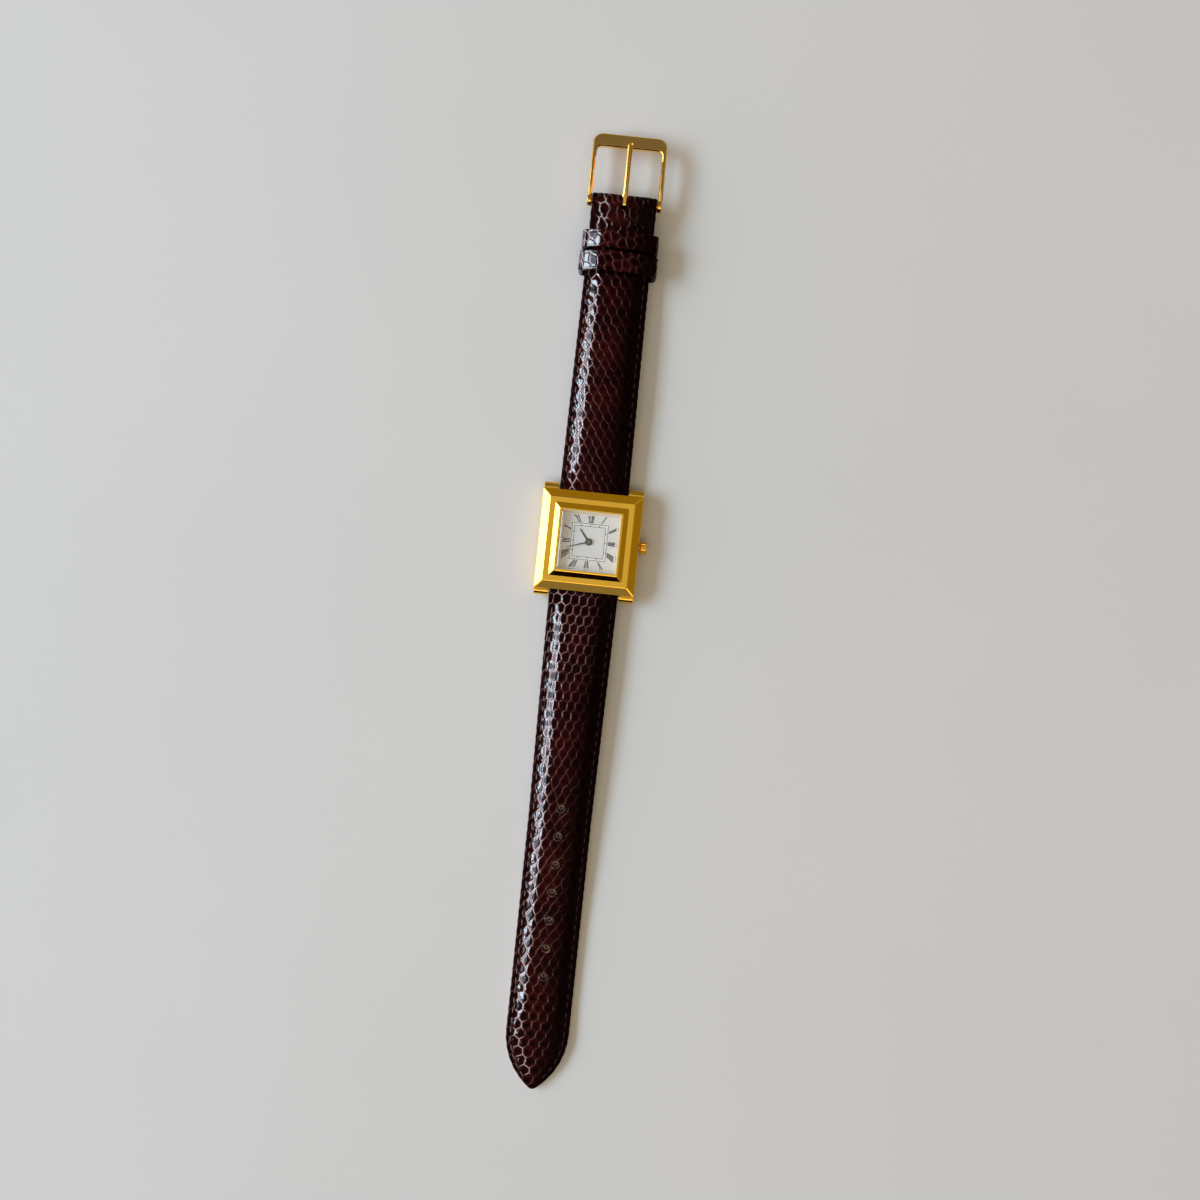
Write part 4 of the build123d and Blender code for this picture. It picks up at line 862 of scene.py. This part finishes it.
def strap_upper(name, half, cells):
    """The grained leather of one strap half, with its loop, padding, holes and slot.

    It gives back the level of the stitching groove along the strap.
    """
    rows = strap_lines(half)
    s, level, normal_s, normal_z = (rows[:, k : k + 1] for k in (0, 1, 4, 5))
    lies_flat = normal_z > 0.9
    x, share, inset, along = upper_grid(half, rows)
    border, tone, *facing = scale_grain(x, *cells(x, along))
    grid = x, share, inset, along, border, tone
    rise = strap_rise(half, s, lies_flat, grid)
    glaze, painted_light_red, line, painted_glint_lines = strap_glaze_and_painted_light(half, rise, grid, facing)
    place = np.broadcast_to(s, x.shape)
    if half is SHORT:
        keep, cut_x, cut_s = open_slot(x, place)
    else:
        keep = outside_holes(x, place)
        cut_x, cut_s = round_holes(x, place, keep)
        rims, rim_level, nearest = hole_rims(x, place)
        rise = rise + rim_level
        border = np.where(nearest < HOLE_RADIUS + 2 * HOLE_RIM, 0.05, border)
        glaze = np.maximum(glaze, 0.9 * rims)
    top_level = level + rise * normal_z
    top = half.point(cut_x, cut_s + rise * normal_s, top_level)
    bottom = half.point(cut_x, *underside(half, rows, cut_x, cut_s))
    centre_s = (s[:-1] + s[1:]) / 2
    # The inside is left out where the lining covers it
    inner = (centre_s <= 2.2) | (centre_s >= (half.reach - 4 if half is SHORT else 1e3))
    values = [border, tone, glaze, painted_light_red, line, painted_glint_lines]
    if half is SHORT:
        top, bottom, keep = top[:, ::-1], bottom[:, ::-1], keep[:, ::-1]
        values = [value[:, ::-1] for value in values]
    piece = grained_piece(name + "_leather", name, (top, bottom, keep, inner), values)
    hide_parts(name + "_upper", name + "_padding")
    nearest = np.abs(inset - STITCH_INSET).argmin(axis=1)
    groove = top_level[np.arange(len(s)), nearest][:, None]
    return s[lies_flat], groove[lies_flat]


def long_cells(x, along):
    """The scales of the long half: tall hexagons, then a leaning net, then rounder at the tip."""
    middle = smooth(along, 22, 45) * (1 - smooth(along, 80, 96))
    tip = smooth(along, 78, 98)
    column = 1.86 + 0.22 * middle + 0.35 * tip
    pitch = 2.15 - 0.1 * middle - 0.1 * tip
    row = np.interp(along, *row_count(pitch, along))
    squeeze = pitch / (1.22 + 0.5 * middle - 0.12 * tip)
    lean = 0.55 * middle * (along - 60) * 0.12 + 0.05 * along
    return column, row, squeeze, lean


def short_cells(x, along):
    """The scales of the short half: a leaning net, with longer scales towards the buckle."""
    far = smooth(along, 30, 50)
    stretched = smooth(along, 51, 57)
    column = 1.95 + 0.15 * far - 0.45 * stretched
    pitch = 1.95 + 0.25 * far + 0.9 * stretched
    row = np.interp(along, *row_count(pitch, along))
    squeeze = pitch / (1.55 - 0.2 * far + 0.3 * stretched)
    wander = 0.35 * np.sin(1.1 * along + 0.9 * x) + 0.2 * np.sin(2.3 * along - 1.7 * x)
    lean = 0.16 * along + wander * stretched
    return column, row, squeeze, lean


def row_count(pitch, along):
    """How many rows of scales lie between the start and each place."""
    places = along[:, 0]
    spacing = pitch[:, 0]
    steps = np.diff(places) * 2 / (spacing[1:] + spacing[:-1])
    return places, np.concatenate([[0], np.cumsum(steps)])


def lining_slab(name, half, end):
    """The lining of a strap half: a thin slab with a lightly rounded lower edge."""
    s = np.arange(LINING_START, end, 0.3)
    if half is LONG:
        s = close_up(s, 12, 0.1)
    half_width = half.half_width(s)
    x = columns_across((0, 0.05, 0.15, 0.4), 0.3)[None, :] * half_width[:, None]
    place = s[:, None] + 0 * x
    gap = half_width[:, None] - np.abs(x)
    lower = half.low(s)[:, None] + 0.14 * np.exp(-((gap / 0.12) ** 2))
    upper = half.low(s)[:, None] + half.lining + 0 * x
    start_dip = smooth(place, LINING_START, LINING_START + 1.5)
    upper = lower + 0.12 + (upper - lower - 0.12) * start_dip
    keep = np.ones((x.shape[0] - 1, x.shape[1] - 1), bool)
    if half is LONG:
        keep = outside_holes(x, place)
        x, place = round_holes(x, place, keep)
    top, bottom = half.point(x, place, upper), half.point(x, place, lower)
    if half is SHORT:
        top, bottom, keep = top[:, ::-1], bottom[:, ::-1], keep[:, ::-1]
    points, faces = shell(top, bottom, keep, np.ones_like(keep))[:2]
    leather = MATERIALS["leather_lining"]
    piece = mesh_piece(name + "_calf", points, faces, leather, name)
    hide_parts(name + "_lining")


def hole_collars():
    """The pale turned edge of the lining that shows inside each punched hole."""
    points, faces = [], []
    around, outer = 28, HOLE_RADIUS - 0.01
    middle = (COLLAR_HOLE + outer) / 2
    for hole in HOLES:
        top = float(LONG.low(hole) + LONG.edge(hole)) - COLLAR_DEPTH
        low = float(LONG.low(hole)) + 0.1
        section = [(outer, low), (outer, top - 0.12), (middle + 0.1, top), (middle - 0.1, top - 0.03)]
        section += [(COLLAR_HOLE + 0.02, top - 0.2), (COLLAR_HOLE, low)]
        faces += ring_faces(around, len(section), len(points), closed=True)
        for angle in 2 * math.pi * np.arange(around) / around:
            c, n = math.cos(angle), math.sin(angle)
            points += [LONG.point(radius * c, hole + radius * n, z) for radius, z in section]
    leather = MATERIALS["leather_lining"]
    mesh_piece("long_strap_hole_collars", points, faces, leather, "long_strap")


# Stitches

STITCH_LENGTH, STITCH_RADIUS, STITCH_SAG = 1.45, 0.15, 0.16


def capsule(centre, direction, side, up):
    """Points and faces of one stitch: a short thread that dips into the leather at both ends."""
    rings, around = 9, 8
    points = []
    for k in range(rings):
        t = -1 + 2 * k / (rings - 1)
        thick = STITCH_RADIUS * math.sqrt(max(1 - abs(t) ** 3.5, 0.02))
        middle = centre + direction * (t * STITCH_LENGTH / 2) - up * (STITCH_SAG * t * t)
        for n in range(around):
            angle = 2 * math.pi * n / around
            points.append(middle + side * (thick * math.cos(angle)) + up * (thick * math.sin(angle)))
    faces = ring_faces(rings, around)
    faces.append(tuple(range(around))[::-1])
    faces.append(tuple(range((rings - 1) * around, rings * around)))
    return points, faces


def stitch_line(name, places, body):
    """A row of stitches along points given in millimetres, each with its direction."""
    points, faces = [], []
    for centre, direction in places:
        direction = Vector(direction).normalized()
        side = direction.cross(Vector((0, 0, 1))).normalized()
        up = side.cross(direction)
        made, sides = capsule(Vector(centre), direction, side, up)
        faces += [tuple(len(points) + v for v in face) for face in sides]
        points += [tuple(p * MM) for p in made]
    mesh_piece(name, points, faces, THREAD, body)


def stitch_places(half, end, groove):
    """Stitches down both margins of a strap half, and round its tip, half sunk in their groove."""
    places = []
    for hand in (-1, 1):
        s = STITCH_START
        while s < end:
            width, next_width = (float(half.half_width(at)) for at in (s, s + 0.2))
            turn = (next_width - width) / 0.2
            normal = math.hypot(1, turn)
            x = hand * (width - STITCH_INSET / normal)
            # The inset runs square to the outline
            at = s + STITCH_INSET * turn / normal
            level, ahead = np.interp((at, at + 0.2), *groove)
            direction = (hand * turn, half.side, (ahead - level) / 0.2)
            places.append(((x, half.side * (BAR_Y + at), float(level) + 0.07), direction))
            s += STITCH_PITCH / normal
    return places


def make_straps():
    for name, half, cells, lining_end, stitch_end in (
        ("long_strap", LONG, long_cells, LONG.reach, LONG.reach - 1.7),
        ("short_strap", SHORT, short_cells, 60.7, 48.5),
    ):
        groove = strap_upper(name, half, cells)
        lining_slab(name, half, lining_end)
        if half is LONG:
            hole_collars()
        stitch_line(name + "_stitches", stitch_places(half, stitch_end, groove), name)


# Keepers

KEEPER_THICKNESS = 1.05
KEEPER_CORNER = 1.2
KEEPER_CROWN = 0.35
KEEPER_SHOULDER, KEEPER_SLOPE, KEEPER_SOFTNESS = 3.3, 0.46, 0.35
# The keepers' scales: width, pitch of the rows, height, lean, unevenness, and how far they stand out
KEEPER_SCALE_WIDTH, KEEPER_ROW_PITCH, KEEPER_SCALE_HEIGHT = 2.3, 1.75, 1.7
KEEPER_LEAN, KEEPER_JITTER, KEEPER_RELIEF = 0.3, 0.24, 0.11
KEEPER_GROOVE_INSET, KEEPER_GROOVE_DEPTH = 0.62, 0.05


def keeper_outline(half, height):
    """A keeper as seen along the strap: points with their outward directions."""
    corner = KEEPER_CORNER
    reach = half - corner

    def arched(x):
        """The level of the top: crowned in the middle, and sloping evenly at both ends."""
        beyond = max(abs(x) - (reach - KEEPER_SHOULDER), 0)
        fall = KEEPER_SLOPE * (math.hypot(beyond, KEEPER_SOFTNESS) - KEEPER_SOFTNESS)
        return height - KEEPER_CROWN - fall + KEEPER_CROWN * (1 - (x / reach) ** 2)

    def arc(cx, cz, begin, finish):
        turns = [(math.cos(a), math.sin(a)) for a in np.linspace(begin, finish, 15, endpoint=False)]
        return [(cx + corner * c, cz + corner * n, c, n) for c, n in turns]

    side_top, step = arched(reach) - corner, GRID * 1.2
    outline = arc(-reach, corner, -math.pi / 2, -math.pi)
    outline += [(-half, z, -1, 0) for z in np.arange(corner, side_top, step)]
    outline += arc(-reach, side_top, math.pi, math.pi / 2)
    for x in np.arange(-reach, reach, GRID):
        lean = (arched(x - 0.05) - arched(x + 0.05)) / 0.1
        size = math.hypot(1, lean)
        outline.append((x, arched(x), lean / size, 1 / size))
    outline += arc(reach, side_top, math.pi / 2, 0)
    outline += [(half, z, 1, 0) for z in np.arange(side_top, corner, -step)]
    outline += arc(reach, corner, 0, -math.pi / 2)
    outline += [(x, 0.0, 0, -1) for x in np.arange(reach, -reach, -0.6)]
    return np.array(outline)


def keeper(node, body, seed_shift):
    """A band of grained leather round the short strap, its ends hidden underneath."""
    low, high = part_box(node)
    half, height = (high.x - low.x) / 2 / MM, (high.z - low.z) / MM
    start, length = low.y / MM, (high.y - low.y) / MM
    outline = keeper_outline(half, height)
    travel = np.concatenate([[0], np.cumsum(np.hypot(*np.diff(outline[:, :2], axis=0).T))])
    edge_x, level, normal_x, normal_z = (outline[:, k : k + 1] for k in range(4))
    inset = np.array([0, 0.02, 0.07, 0.15, 0.26, EDGE_ROUND])
    across = np.concatenate([inset, np.arange(0.5, length - 0.5, 0.14), length - inset[::-1]])
    y = np.broadcast_to(across[None, :], (len(outline), len(across)))
    along = np.broadcast_to(travel[:, None], y.shape)
    border, tone, _, onward = scale_grain(
        y + seed_shift, KEEPER_SCALE_WIDTH, along / KEEPER_ROW_PITCH + seed_shift,
        np.full(y.shape, KEEPER_SCALE_HEIGHT), KEEPER_LEAN * along, KEEPER_JITTER,
    )
    gap = np.minimum(y, length - y)
    upper_side = smooth(normal_z, -0.9, -0.2)
    swell = pillow(border, KEEPER_RELIEF, 0.3) - KEEPER_RELIEF
    rise = swell * upper_side * smooth(gap, 0.1, 0.6)
    edge = np.clip(EDGE_ROUND - gap, 0, EDGE_ROUND)
    rise = rise - (EDGE_ROUND - np.sqrt(EDGE_ROUND**2 - edge**2)) * upper_side
    groove = np.exp(-(((gap - KEEPER_GROOVE_INSET) / 0.14) ** 2))
    rise = rise - KEEPER_GROOVE_DEPTH * groove * upper_side

    def sheet(out):
        """The outline moved outwards and drawn along the strap."""
        return np.stack([edge_x + out * normal_x, start + y, level + out * normal_z], -1) * MM

    share = (edge_x / half) * np.ones(y.shape)
    tilt = np.gradient(rise, travel, axis=0) - normal_x
    glaze = smooth(tilt, *GLAZE_SLOPE) * (1 - 0.9 * smooth(share, 0.0, 0.4))
    glaze = glaze * (1 - 0.85 * dull_inside(border, tone, 0.4))
    # The scales are painted redder and the lines paler towards the end that faces the window: a painted
    # highlight
    painted_light_red = 1 - smooth(share, 0.0, 0.95)
    line = painted_light_red * (0.12 + 0.88 * smooth(-onward, 0.2, 0.9))
    # Pale grey lines are painted on the ends: on the sloping one away from the crown, which faces the
    # window, as a painted highlight, and along the edge of the other
    painted_glint_lines = np.maximum(0.8 * smooth(-share, 0.55, 0.75), 0.4 * smooth(share, 0.93, 0.99)) * upper_side
    keep = np.ones((len(outline), len(across) - 1), bool)
    bands = sheet(rise), sheet(np.full(y.shape, -KEEPER_THICKNESS)), keep, keep
    piece = grained_piece(node + "_band", body, bands, (border, tone, glaze, painted_light_red, line, painted_glint_lines), True)
    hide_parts(node)


# Crystal

CRYSTAL_CORNER = 0.3 * MM
CRYSTAL_CHAMFER, CRYSTAL_CHAMFER_HEIGHT = 0.31 * MM, 0.17 * MM
CRYSTAL_LOWER_CHAMFER = 0.08 * MM


def make_crystal():
    """The flat glass, with a wide polished chamfer round its top and a narrow one below."""
    low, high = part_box("crystal")
    half = (high.x - low.x) / 2
    rings = [(CRYSTAL_LOWER_CHAMFER, low.z), (0, low.z + CRYSTAL_LOWER_CHAMFER)]
    rings += [(0, high.z - CRYSTAL_CHAMFER_HEIGHT), (CRYSTAL_CHAMFER, high.z)]
    points = []
    for inset, level in rings:
        reach, cut = half - inset, CRYSTAL_CORNER * (1 - inset / half)
        for turns in range(4):
            points += [(*quarter_turns((-reach + cut, reach), turns), level)]
            points += [(*quarter_turns((reach - cut, reach), turns), level)]
    faces = [tuple(range(8)), tuple(range(31, 23, -1))]
    faces += turned_over(ring_faces(4, 8))
    glass = MATERIALS["glass"]
    piece = mesh_piece("cut_crystal", points, faces, glass, "case", smooth_shading=False)
    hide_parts("crystal")


# Buckle tongue

TONGUE_WIDTH, TONGUE_THICKNESS = 1.15, 0.9
# The middle of the tongue's tip, where it lies in the hollow of the buckle's plate
TONGUE_TIP_LEVEL = 4.44
# How square the tongue's section is, and how far its corners are cut
TONGUE_SQUARENESS, TONGUE_CUT = 12, 1.38
CURL_WIDTH, CURL_RADIUS, CURL_BORE = 1.6, 1.25, 0.72
PEAK_SHARE, BEND_SHARE, PEAK_RISE = 0.42, 0.7, 0.66


def tongue_line():
    """The tongue's middle line in side view, round the buckle's bar and along its arm."""
    bar_y, bar_z = BUCKLE_BAR_Y, BUCKLE_BAR_Z
    tip_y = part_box("buckle_tongue")[1].y / MM
    length = tip_y - bar_y
    middle = (CURL_RADIUS + CURL_BORE) / 2
    line = []
    for angle in np.linspace(math.radians(-60), math.radians(-270), 30, endpoint=False):
        line.append((bar_y + middle * math.cos(angle), bar_z + middle * math.sin(angle)))
    root = bar_z + middle
    peak = bar_z + CURL_RADIUS - TONGUE_THICKNESS / 2 + PEAK_RISE
    places = [bar_y, bar_y + PEAK_SHARE * length, bar_y + BEND_SHARE * length, tip_y]
    y = np.linspace(bar_y, tip_y, 60)
    z = curve(places, [root, peak, peak - 0.02, TONGUE_TIP_LEVEL], y)
    return line + list(zip(y, z)), len(line)


def make_tongue():
    """The buckle's tongue: a bar of rounded section, curled round the buckle's bar."""
    line, turn = tongue_line()
    line = np.array(line)
    ahead = np.gradient(line, axis=0)
    ahead /= np.hypot(ahead[:, 0], ahead[:, 1])[:, None]
    up = np.stack([-ahead[:, 1], ahead[:, 0]], -1)
    tip_y = line[-1, 0]
    around = 48
    angles = 2 * math.pi * np.arange(around) / around
    points = []
    for k, ((y, z), (up_y, up_z)) in enumerate(zip(line, up)):
        grown = float(smooth(np.array(y - line[turn, 0]), 0.0, 2.6)) if k >= turn else 0.0
        wide = CURL_WIDTH + (TONGUE_WIDTH - CURL_WIDTH) * grown
        thick = CURL_RADIUS - CURL_BORE + (TONGUE_THICKNESS - CURL_RADIUS + CURL_BORE) * grown
        nose = max(TONGUE_WIDTH / 2 - (tip_y - y), 0) / (TONGUE_WIDTH / 2)
        narrowing = math.sqrt(max(1 - nose**2, 0.0025))
        for angle in angles:
            c, n = math.cos(angle), math.sin(angle)
            # Flat on all four sides, with broad rounded chamfers
            sides = (abs(c), abs(n), (abs(c) + abs(n)) / TONGUE_CUT)
            reach = sum(side**TONGUE_SQUARENESS for side in sides) ** (-1 / TONGUE_SQUARENESS)
            across = reach * c * wide / 2 * narrowing
            rise = reach * n * thick / 2 * (0.45 + 0.55 * narrowing)
            points.append((across * MM, (y + rise * up_y) * MM, (z + rise * up_z) * MM))
    faces = turned_over(ring_faces(len(line), around))
    faces.append(tuple(range(around)))
    faces.append(tuple(range((len(line) - 1) * around, len(line) * around))[::-1])
    piece = mesh_piece("swept_tongue", points, faces, BUCKLE_GOLD, "buckle_tongue")
    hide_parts("buckle_tongue")


# Dial printing

FEET, TOPS = 4.2, 5.85
TRACK_OUTER, TRACK_INNER = 4.0, 3.465
TRACK_LINE = 0.105
THICK, THIN = 0.25, 0.14
INK_THICKNESS = 0.012 * MM
ADVANCE = {"I": 0.31, "V": 0.66, "X": 0.72}
NUMERALS = ("XI", "XII", "I"), ("II", "III", "IIII"), ("V", "VI", "VII"), ("VIII", "IX", "X")


def stroke(foot, top, width):
    """A bar from the feet (0) to the tops (1) of the numerals, given by its middle at both."""
    return [(foot - width / 2, 0), (foot + width / 2, 0), (top + width / 2, 1), (top - width / 2, 1)]


def serif(middle, end, reach=0.12, height=0.035):
    low = end - height if end else 0
    left, right, high = middle - reach, middle + reach, low + height
    return [(left, low), (right, low), (right, high), (left, high)]


def glyph(letter):
    """The flat shapes of one letter, across from its own middle and from feet to tops."""
    lean = (ADVANCE[letter] - THICK) / 2
    if letter == "I":
        return [stroke(0, 0, THICK), serif(0, 0), serif(0, 1)]
    if letter == "V":
        return [stroke(0, -lean, THICK), stroke(0.04, lean, THIN), serif(-lean, 1), serif(lean, 1, 0.09)]
    shapes = [stroke(lean, -lean, THICK), stroke(-lean, lean, THIN)]
    return shapes + [serif(-lean, 1), serif(lean, 1, 0.09), serif(-lean, 0, 0.09), serif(lean, 0)]


def numeral(text):
    """All shapes of a numeral, across from its middle."""
    edge = -sum(ADVANCE[letter] for letter in text) / 2
    shapes = []
    for letter in text:
        middle = edge + ADVANCE[letter] / 2
        shapes += [[(middle + across, up) for across, up in shape] for shape in glyph(letter)]
        edge += ADVANCE[letter]
    return shapes


def quarter_turns(point, turns):
    """Turns a point clockwise by quarters."""
    for _ in range(turns):
        point = (point[1], -point[0])
    return point


def numeral_ring():
    """Numerals between two squares: their strokes point at the centre, their feet lie along the track."""
    shapes = []
    middle = (FEET + TOPS) / 2
    for side, texts in enumerate(NUMERALS):
        for place, text in enumerate(texts):
            lean = math.tan(math.radians(30 * (place - 1)))
            for shape in numeral(text):
                outline = []
                for across, up in shape:
                    out = FEET + up * (TOPS - FEET)
                    outline.append(quarter_turns((across * out / middle + lean * out, out), side))
                shapes.append(outline)
    return shapes


def printed(name, shapes, level, ink):
    """Thin prisms of ink on the dial."""
    points, faces = [], []
    for shape in shapes:
        area = sum(a[0] * b[1] - b[0] * a[1] for a, b in zip(shape, shape[1:] + shape[:1]))
        shape = shape if area > 0 else shape[::-1]
        base = len(points)
        n = len(shape)
        points += [(x * MM, y * MM, level) for x, y in shape]
        points += [(x * MM, y * MM, level + INK_THICKNESS) for x, y in shape]
        faces.append(tuple(range(base + n, base + 2 * n)))
        faces += [(base + k, base + (k + 1) % n, base + n + (k + 1) % n, base + n + k) for k in range(n)]
    mesh_piece(name, points, faces, ink, "case", smooth_shading=False)


def square_band(half, width):
    """A square line as four bars."""
    outer, inner = half + width / 2, half - width / 2
    bars = []
    for k in range(4):
        c, s = round(math.cos(k * math.pi / 2)), round(math.sin(k * math.pi / 2))
        corners = [(-outer, inner), (inner, inner), (inner, outer), (-outer, outer)]
        bars.append([(c * x - s * y, s * x + c * y) for x, y in corners])
    return bars


def make_dial_print():
    band = (TRACK_OUTER + TRACK_INNER) / 2
    printed("dial_track_ground", square_band(band, TRACK_OUTER - TRACK_INNER), DIAL_TOP, TRACK_WHITE)
    lines = square_band(TRACK_OUTER, TRACK_LINE) + square_band(TRACK_INNER, TRACK_LINE)
    for hour in range(12):
        angle = math.radians(30 * hour)
        direction = Vector((math.sin(angle), math.cos(angle)))
        side = Vector((direction.y, -direction.x)) * TRACK_LINE
        reach = max(abs(direction.x), abs(direction.y))
        inner = direction * (TRACK_INNER / reach)
        outer = direction * (band / reach)
        lines.append([tuple(inner + side), tuple(inner - side), tuple(outer - side), tuple(outer + side)])
    # The track's lines stand out of its pale ground
    printed("dial_track", lines, DIAL_TOP + INK_THICKNESS / 2, INK)
    printed("dial_numerals", numeral_ring(), DIAL_TOP, INK)


# Floor, light and camera


def make_floor():
    m = Nodes("table_white", Specular_IOR_Level=0.12)
    m.wander("Base Color", 9.0, (0.745, 0.754, 0.775), (0.775, 0.78, 0.80), 4.0)
    m.wander("Roughness", 120.0, 0.5, 0.62)
    reach, level = 1.6, -0.02 * MM
    points = [(reach * x, reach * y, level) for x, y in ((-1, -1), (1, -1), (1, 1), (-1, 1))]
    mesh = bpy.data.meshes.new("table")
    mesh.from_pydata(points, [], [(0, 1, 2, 3)])
    mesh.materials.append(m.material)
    add_object("table", mesh)


WINDOW_ELEVATION = math.radians(33)
WINDOW_DISTANCE = 1.7
WINDOW_SIZE = (1.5, 0.53)
WINDOW_TURN = math.radians(4)
WINDOW_POWER = 23.8
WINDOW_COLOUR = (0.64, 0.83, 1.0)
CEILING_MIDDLE = (0.64, 0.575, 0.44)
CEILING = (0.18, 0.175, 0.17)
CEILING_RIGHT = (0.50, 0.44, 0.36)
CEILING_NEAR = (1.65, 1.30, 0.88)
LOW_WALL = (0.09, 0.05, 0.02)
CEILING_BY_WINDOW = (0.55, 0.50, 0.42)
FAR_WALL = (0.28, 0.21, 0.04)
NEAR_WALL = (0.25, 0.24, 0.30)
SUNLIT_WALL = (2.3, 1.9, 2.0)
DARK_SCREEN = (0.004, 0.002, 0.003)
BACKDROP = (0.62, 0.62, 0.60)


def make_window():
    light = bpy.data.lights.new("window", "AREA")
    light.shape = "RECTANGLE"
    light.size, light.size_y = WINDOW_SIZE
    light.energy = WINDOW_POWER
    light.color = WINDOW_COLOUR
    window = add_object("window", light)
    level = IMAGE_UP * math.sin(WINDOW_TURN) - IMAGE_RIGHT * math.cos(WINDOW_TURN)
    towards = level * math.cos(WINDOW_ELEVATION) + Vector((0, 0, math.sin(WINDOW_ELEVATION)))
    window.location = towards * WINDOW_DISTANCE
    window.rotation_euler = towards.to_track_quat("Z", "Y").to_euler()


class Room(Tree):
    """The world round the scene, as tones by the direction in which a ray leaves it."""

    def __init__(self):
        world = bpy.data.worlds.new("room")
        bpy.context.scene.world = world
        world.use_nodes = True
        world.node_tree.nodes.clear()
        super().__init__(world.node_tree)
        self.place = self.node("ShaderNodeTexCoord").outputs["Generated"]

    def beyond(self, direction, low, high):
        """From 0 at low to 1 at high of how far a ray points along a direction."""
        dot = self.node("ShaderNodeVectorMath", operation="DOT_PRODUCT")
        self.link(self.place, dot.inputs[0])
        dot.inputs[1].default_value = direction
        step = self.node(
            "ShaderNodeMapRange", interpolation_type="SMOOTHSTEP", From_Min=low, From_Max=high
        )
        self.link(dot.outputs["Value"], step.inputs["Value"])
        return step.outputs["Result"]

    def patched(self, colour, *patches):
        """Lays patches of other tones over a colour, one after another."""
        for tone, *where in patches:
            colour = self.mix(self.beyond(*where), colour, tone)
        return colour


def make_room():
    """What the polished metal mirrors: walls and ceiling in soft patches, and a dark screen."""
    room = Room()
    up, down = (0, 0, 1), (0, 0, -1)
    near = room.beyond(-IMAGE_UP, 0.35, 0.6)
    on_screen = room.maths("MULTIPLY", near, room.beyond(down, -0.57, -0.53))
    left = room.beyond(-IMAGE_RIGHT, 0.60, 0.74)
    on_wall = room.maths("MULTIPLY", left, room.beyond(down, -0.46, -0.40))
    colour = room.mix(near, FAR_WALL, NEAR_WALL)
    colour = room.mix(room.beyond(up, 0.22, 0.38), LOW_WALL, colour)
    colour = room.mix(on_screen, colour, DARK_SCREEN)
    colour = room.mix(on_wall, colour, SUNLIT_WALL)
    ceiling = room.patched(
        CEILING,
        (CEILING_BY_WINDOW, -IMAGE_RIGHT, 0.15, 0.35),
        (CEILING_RIGHT, IMAGE_RIGHT, 0.22, 0.45),
        (CEILING_NEAR, -IMAGE_UP, 0.25, 0.42),
    )
    colour = room.patched(colour, (ceiling, up, 0.68, 0.76), (CEILING_MIDDLE, up, 0.982, 0.992))
    shine = room.node("ShaderNodeBackground")
    room.link(colour, shine.inputs["Color"])
    # The camera itself sees a plain backdrop
    plain = room.node("ShaderNodeBackground", Color=(*BACKDROP, 1))
    seen = room.node("ShaderNodeLightPath").outputs["Is Camera Ray"]
    output = room.node("ShaderNodeOutputWorld")
    room.link(room.mix_shaders(seen, shine.outputs[0], plain.outputs[0]), output.inputs["Surface"])


def make_camera():
    data = bpy.data.cameras.new("camera")
    data.lens = CAMERA_LENS
    data.sensor_width = CAMERA_SENSOR
    data.clip_start = 1 * MM
    camera = add_object("camera", data)
    camera.location = CAMERA_PLACE
    camera.rotation_euler = (0, 0, PHOTO_TURN)
    bpy.context.scene.camera = camera
    bpy.context.scene.view_settings.view_transform = "Standard"


make_camera()
make_floor()
make_window()
make_room()
dress_nodes()
make_dial_print()
make_crystal()
make_straps()
make_tongue()
keeper("fixed_keeper", "short_strap", 0.4)
keeper("free_keeper", "free_keeper", 3.7)
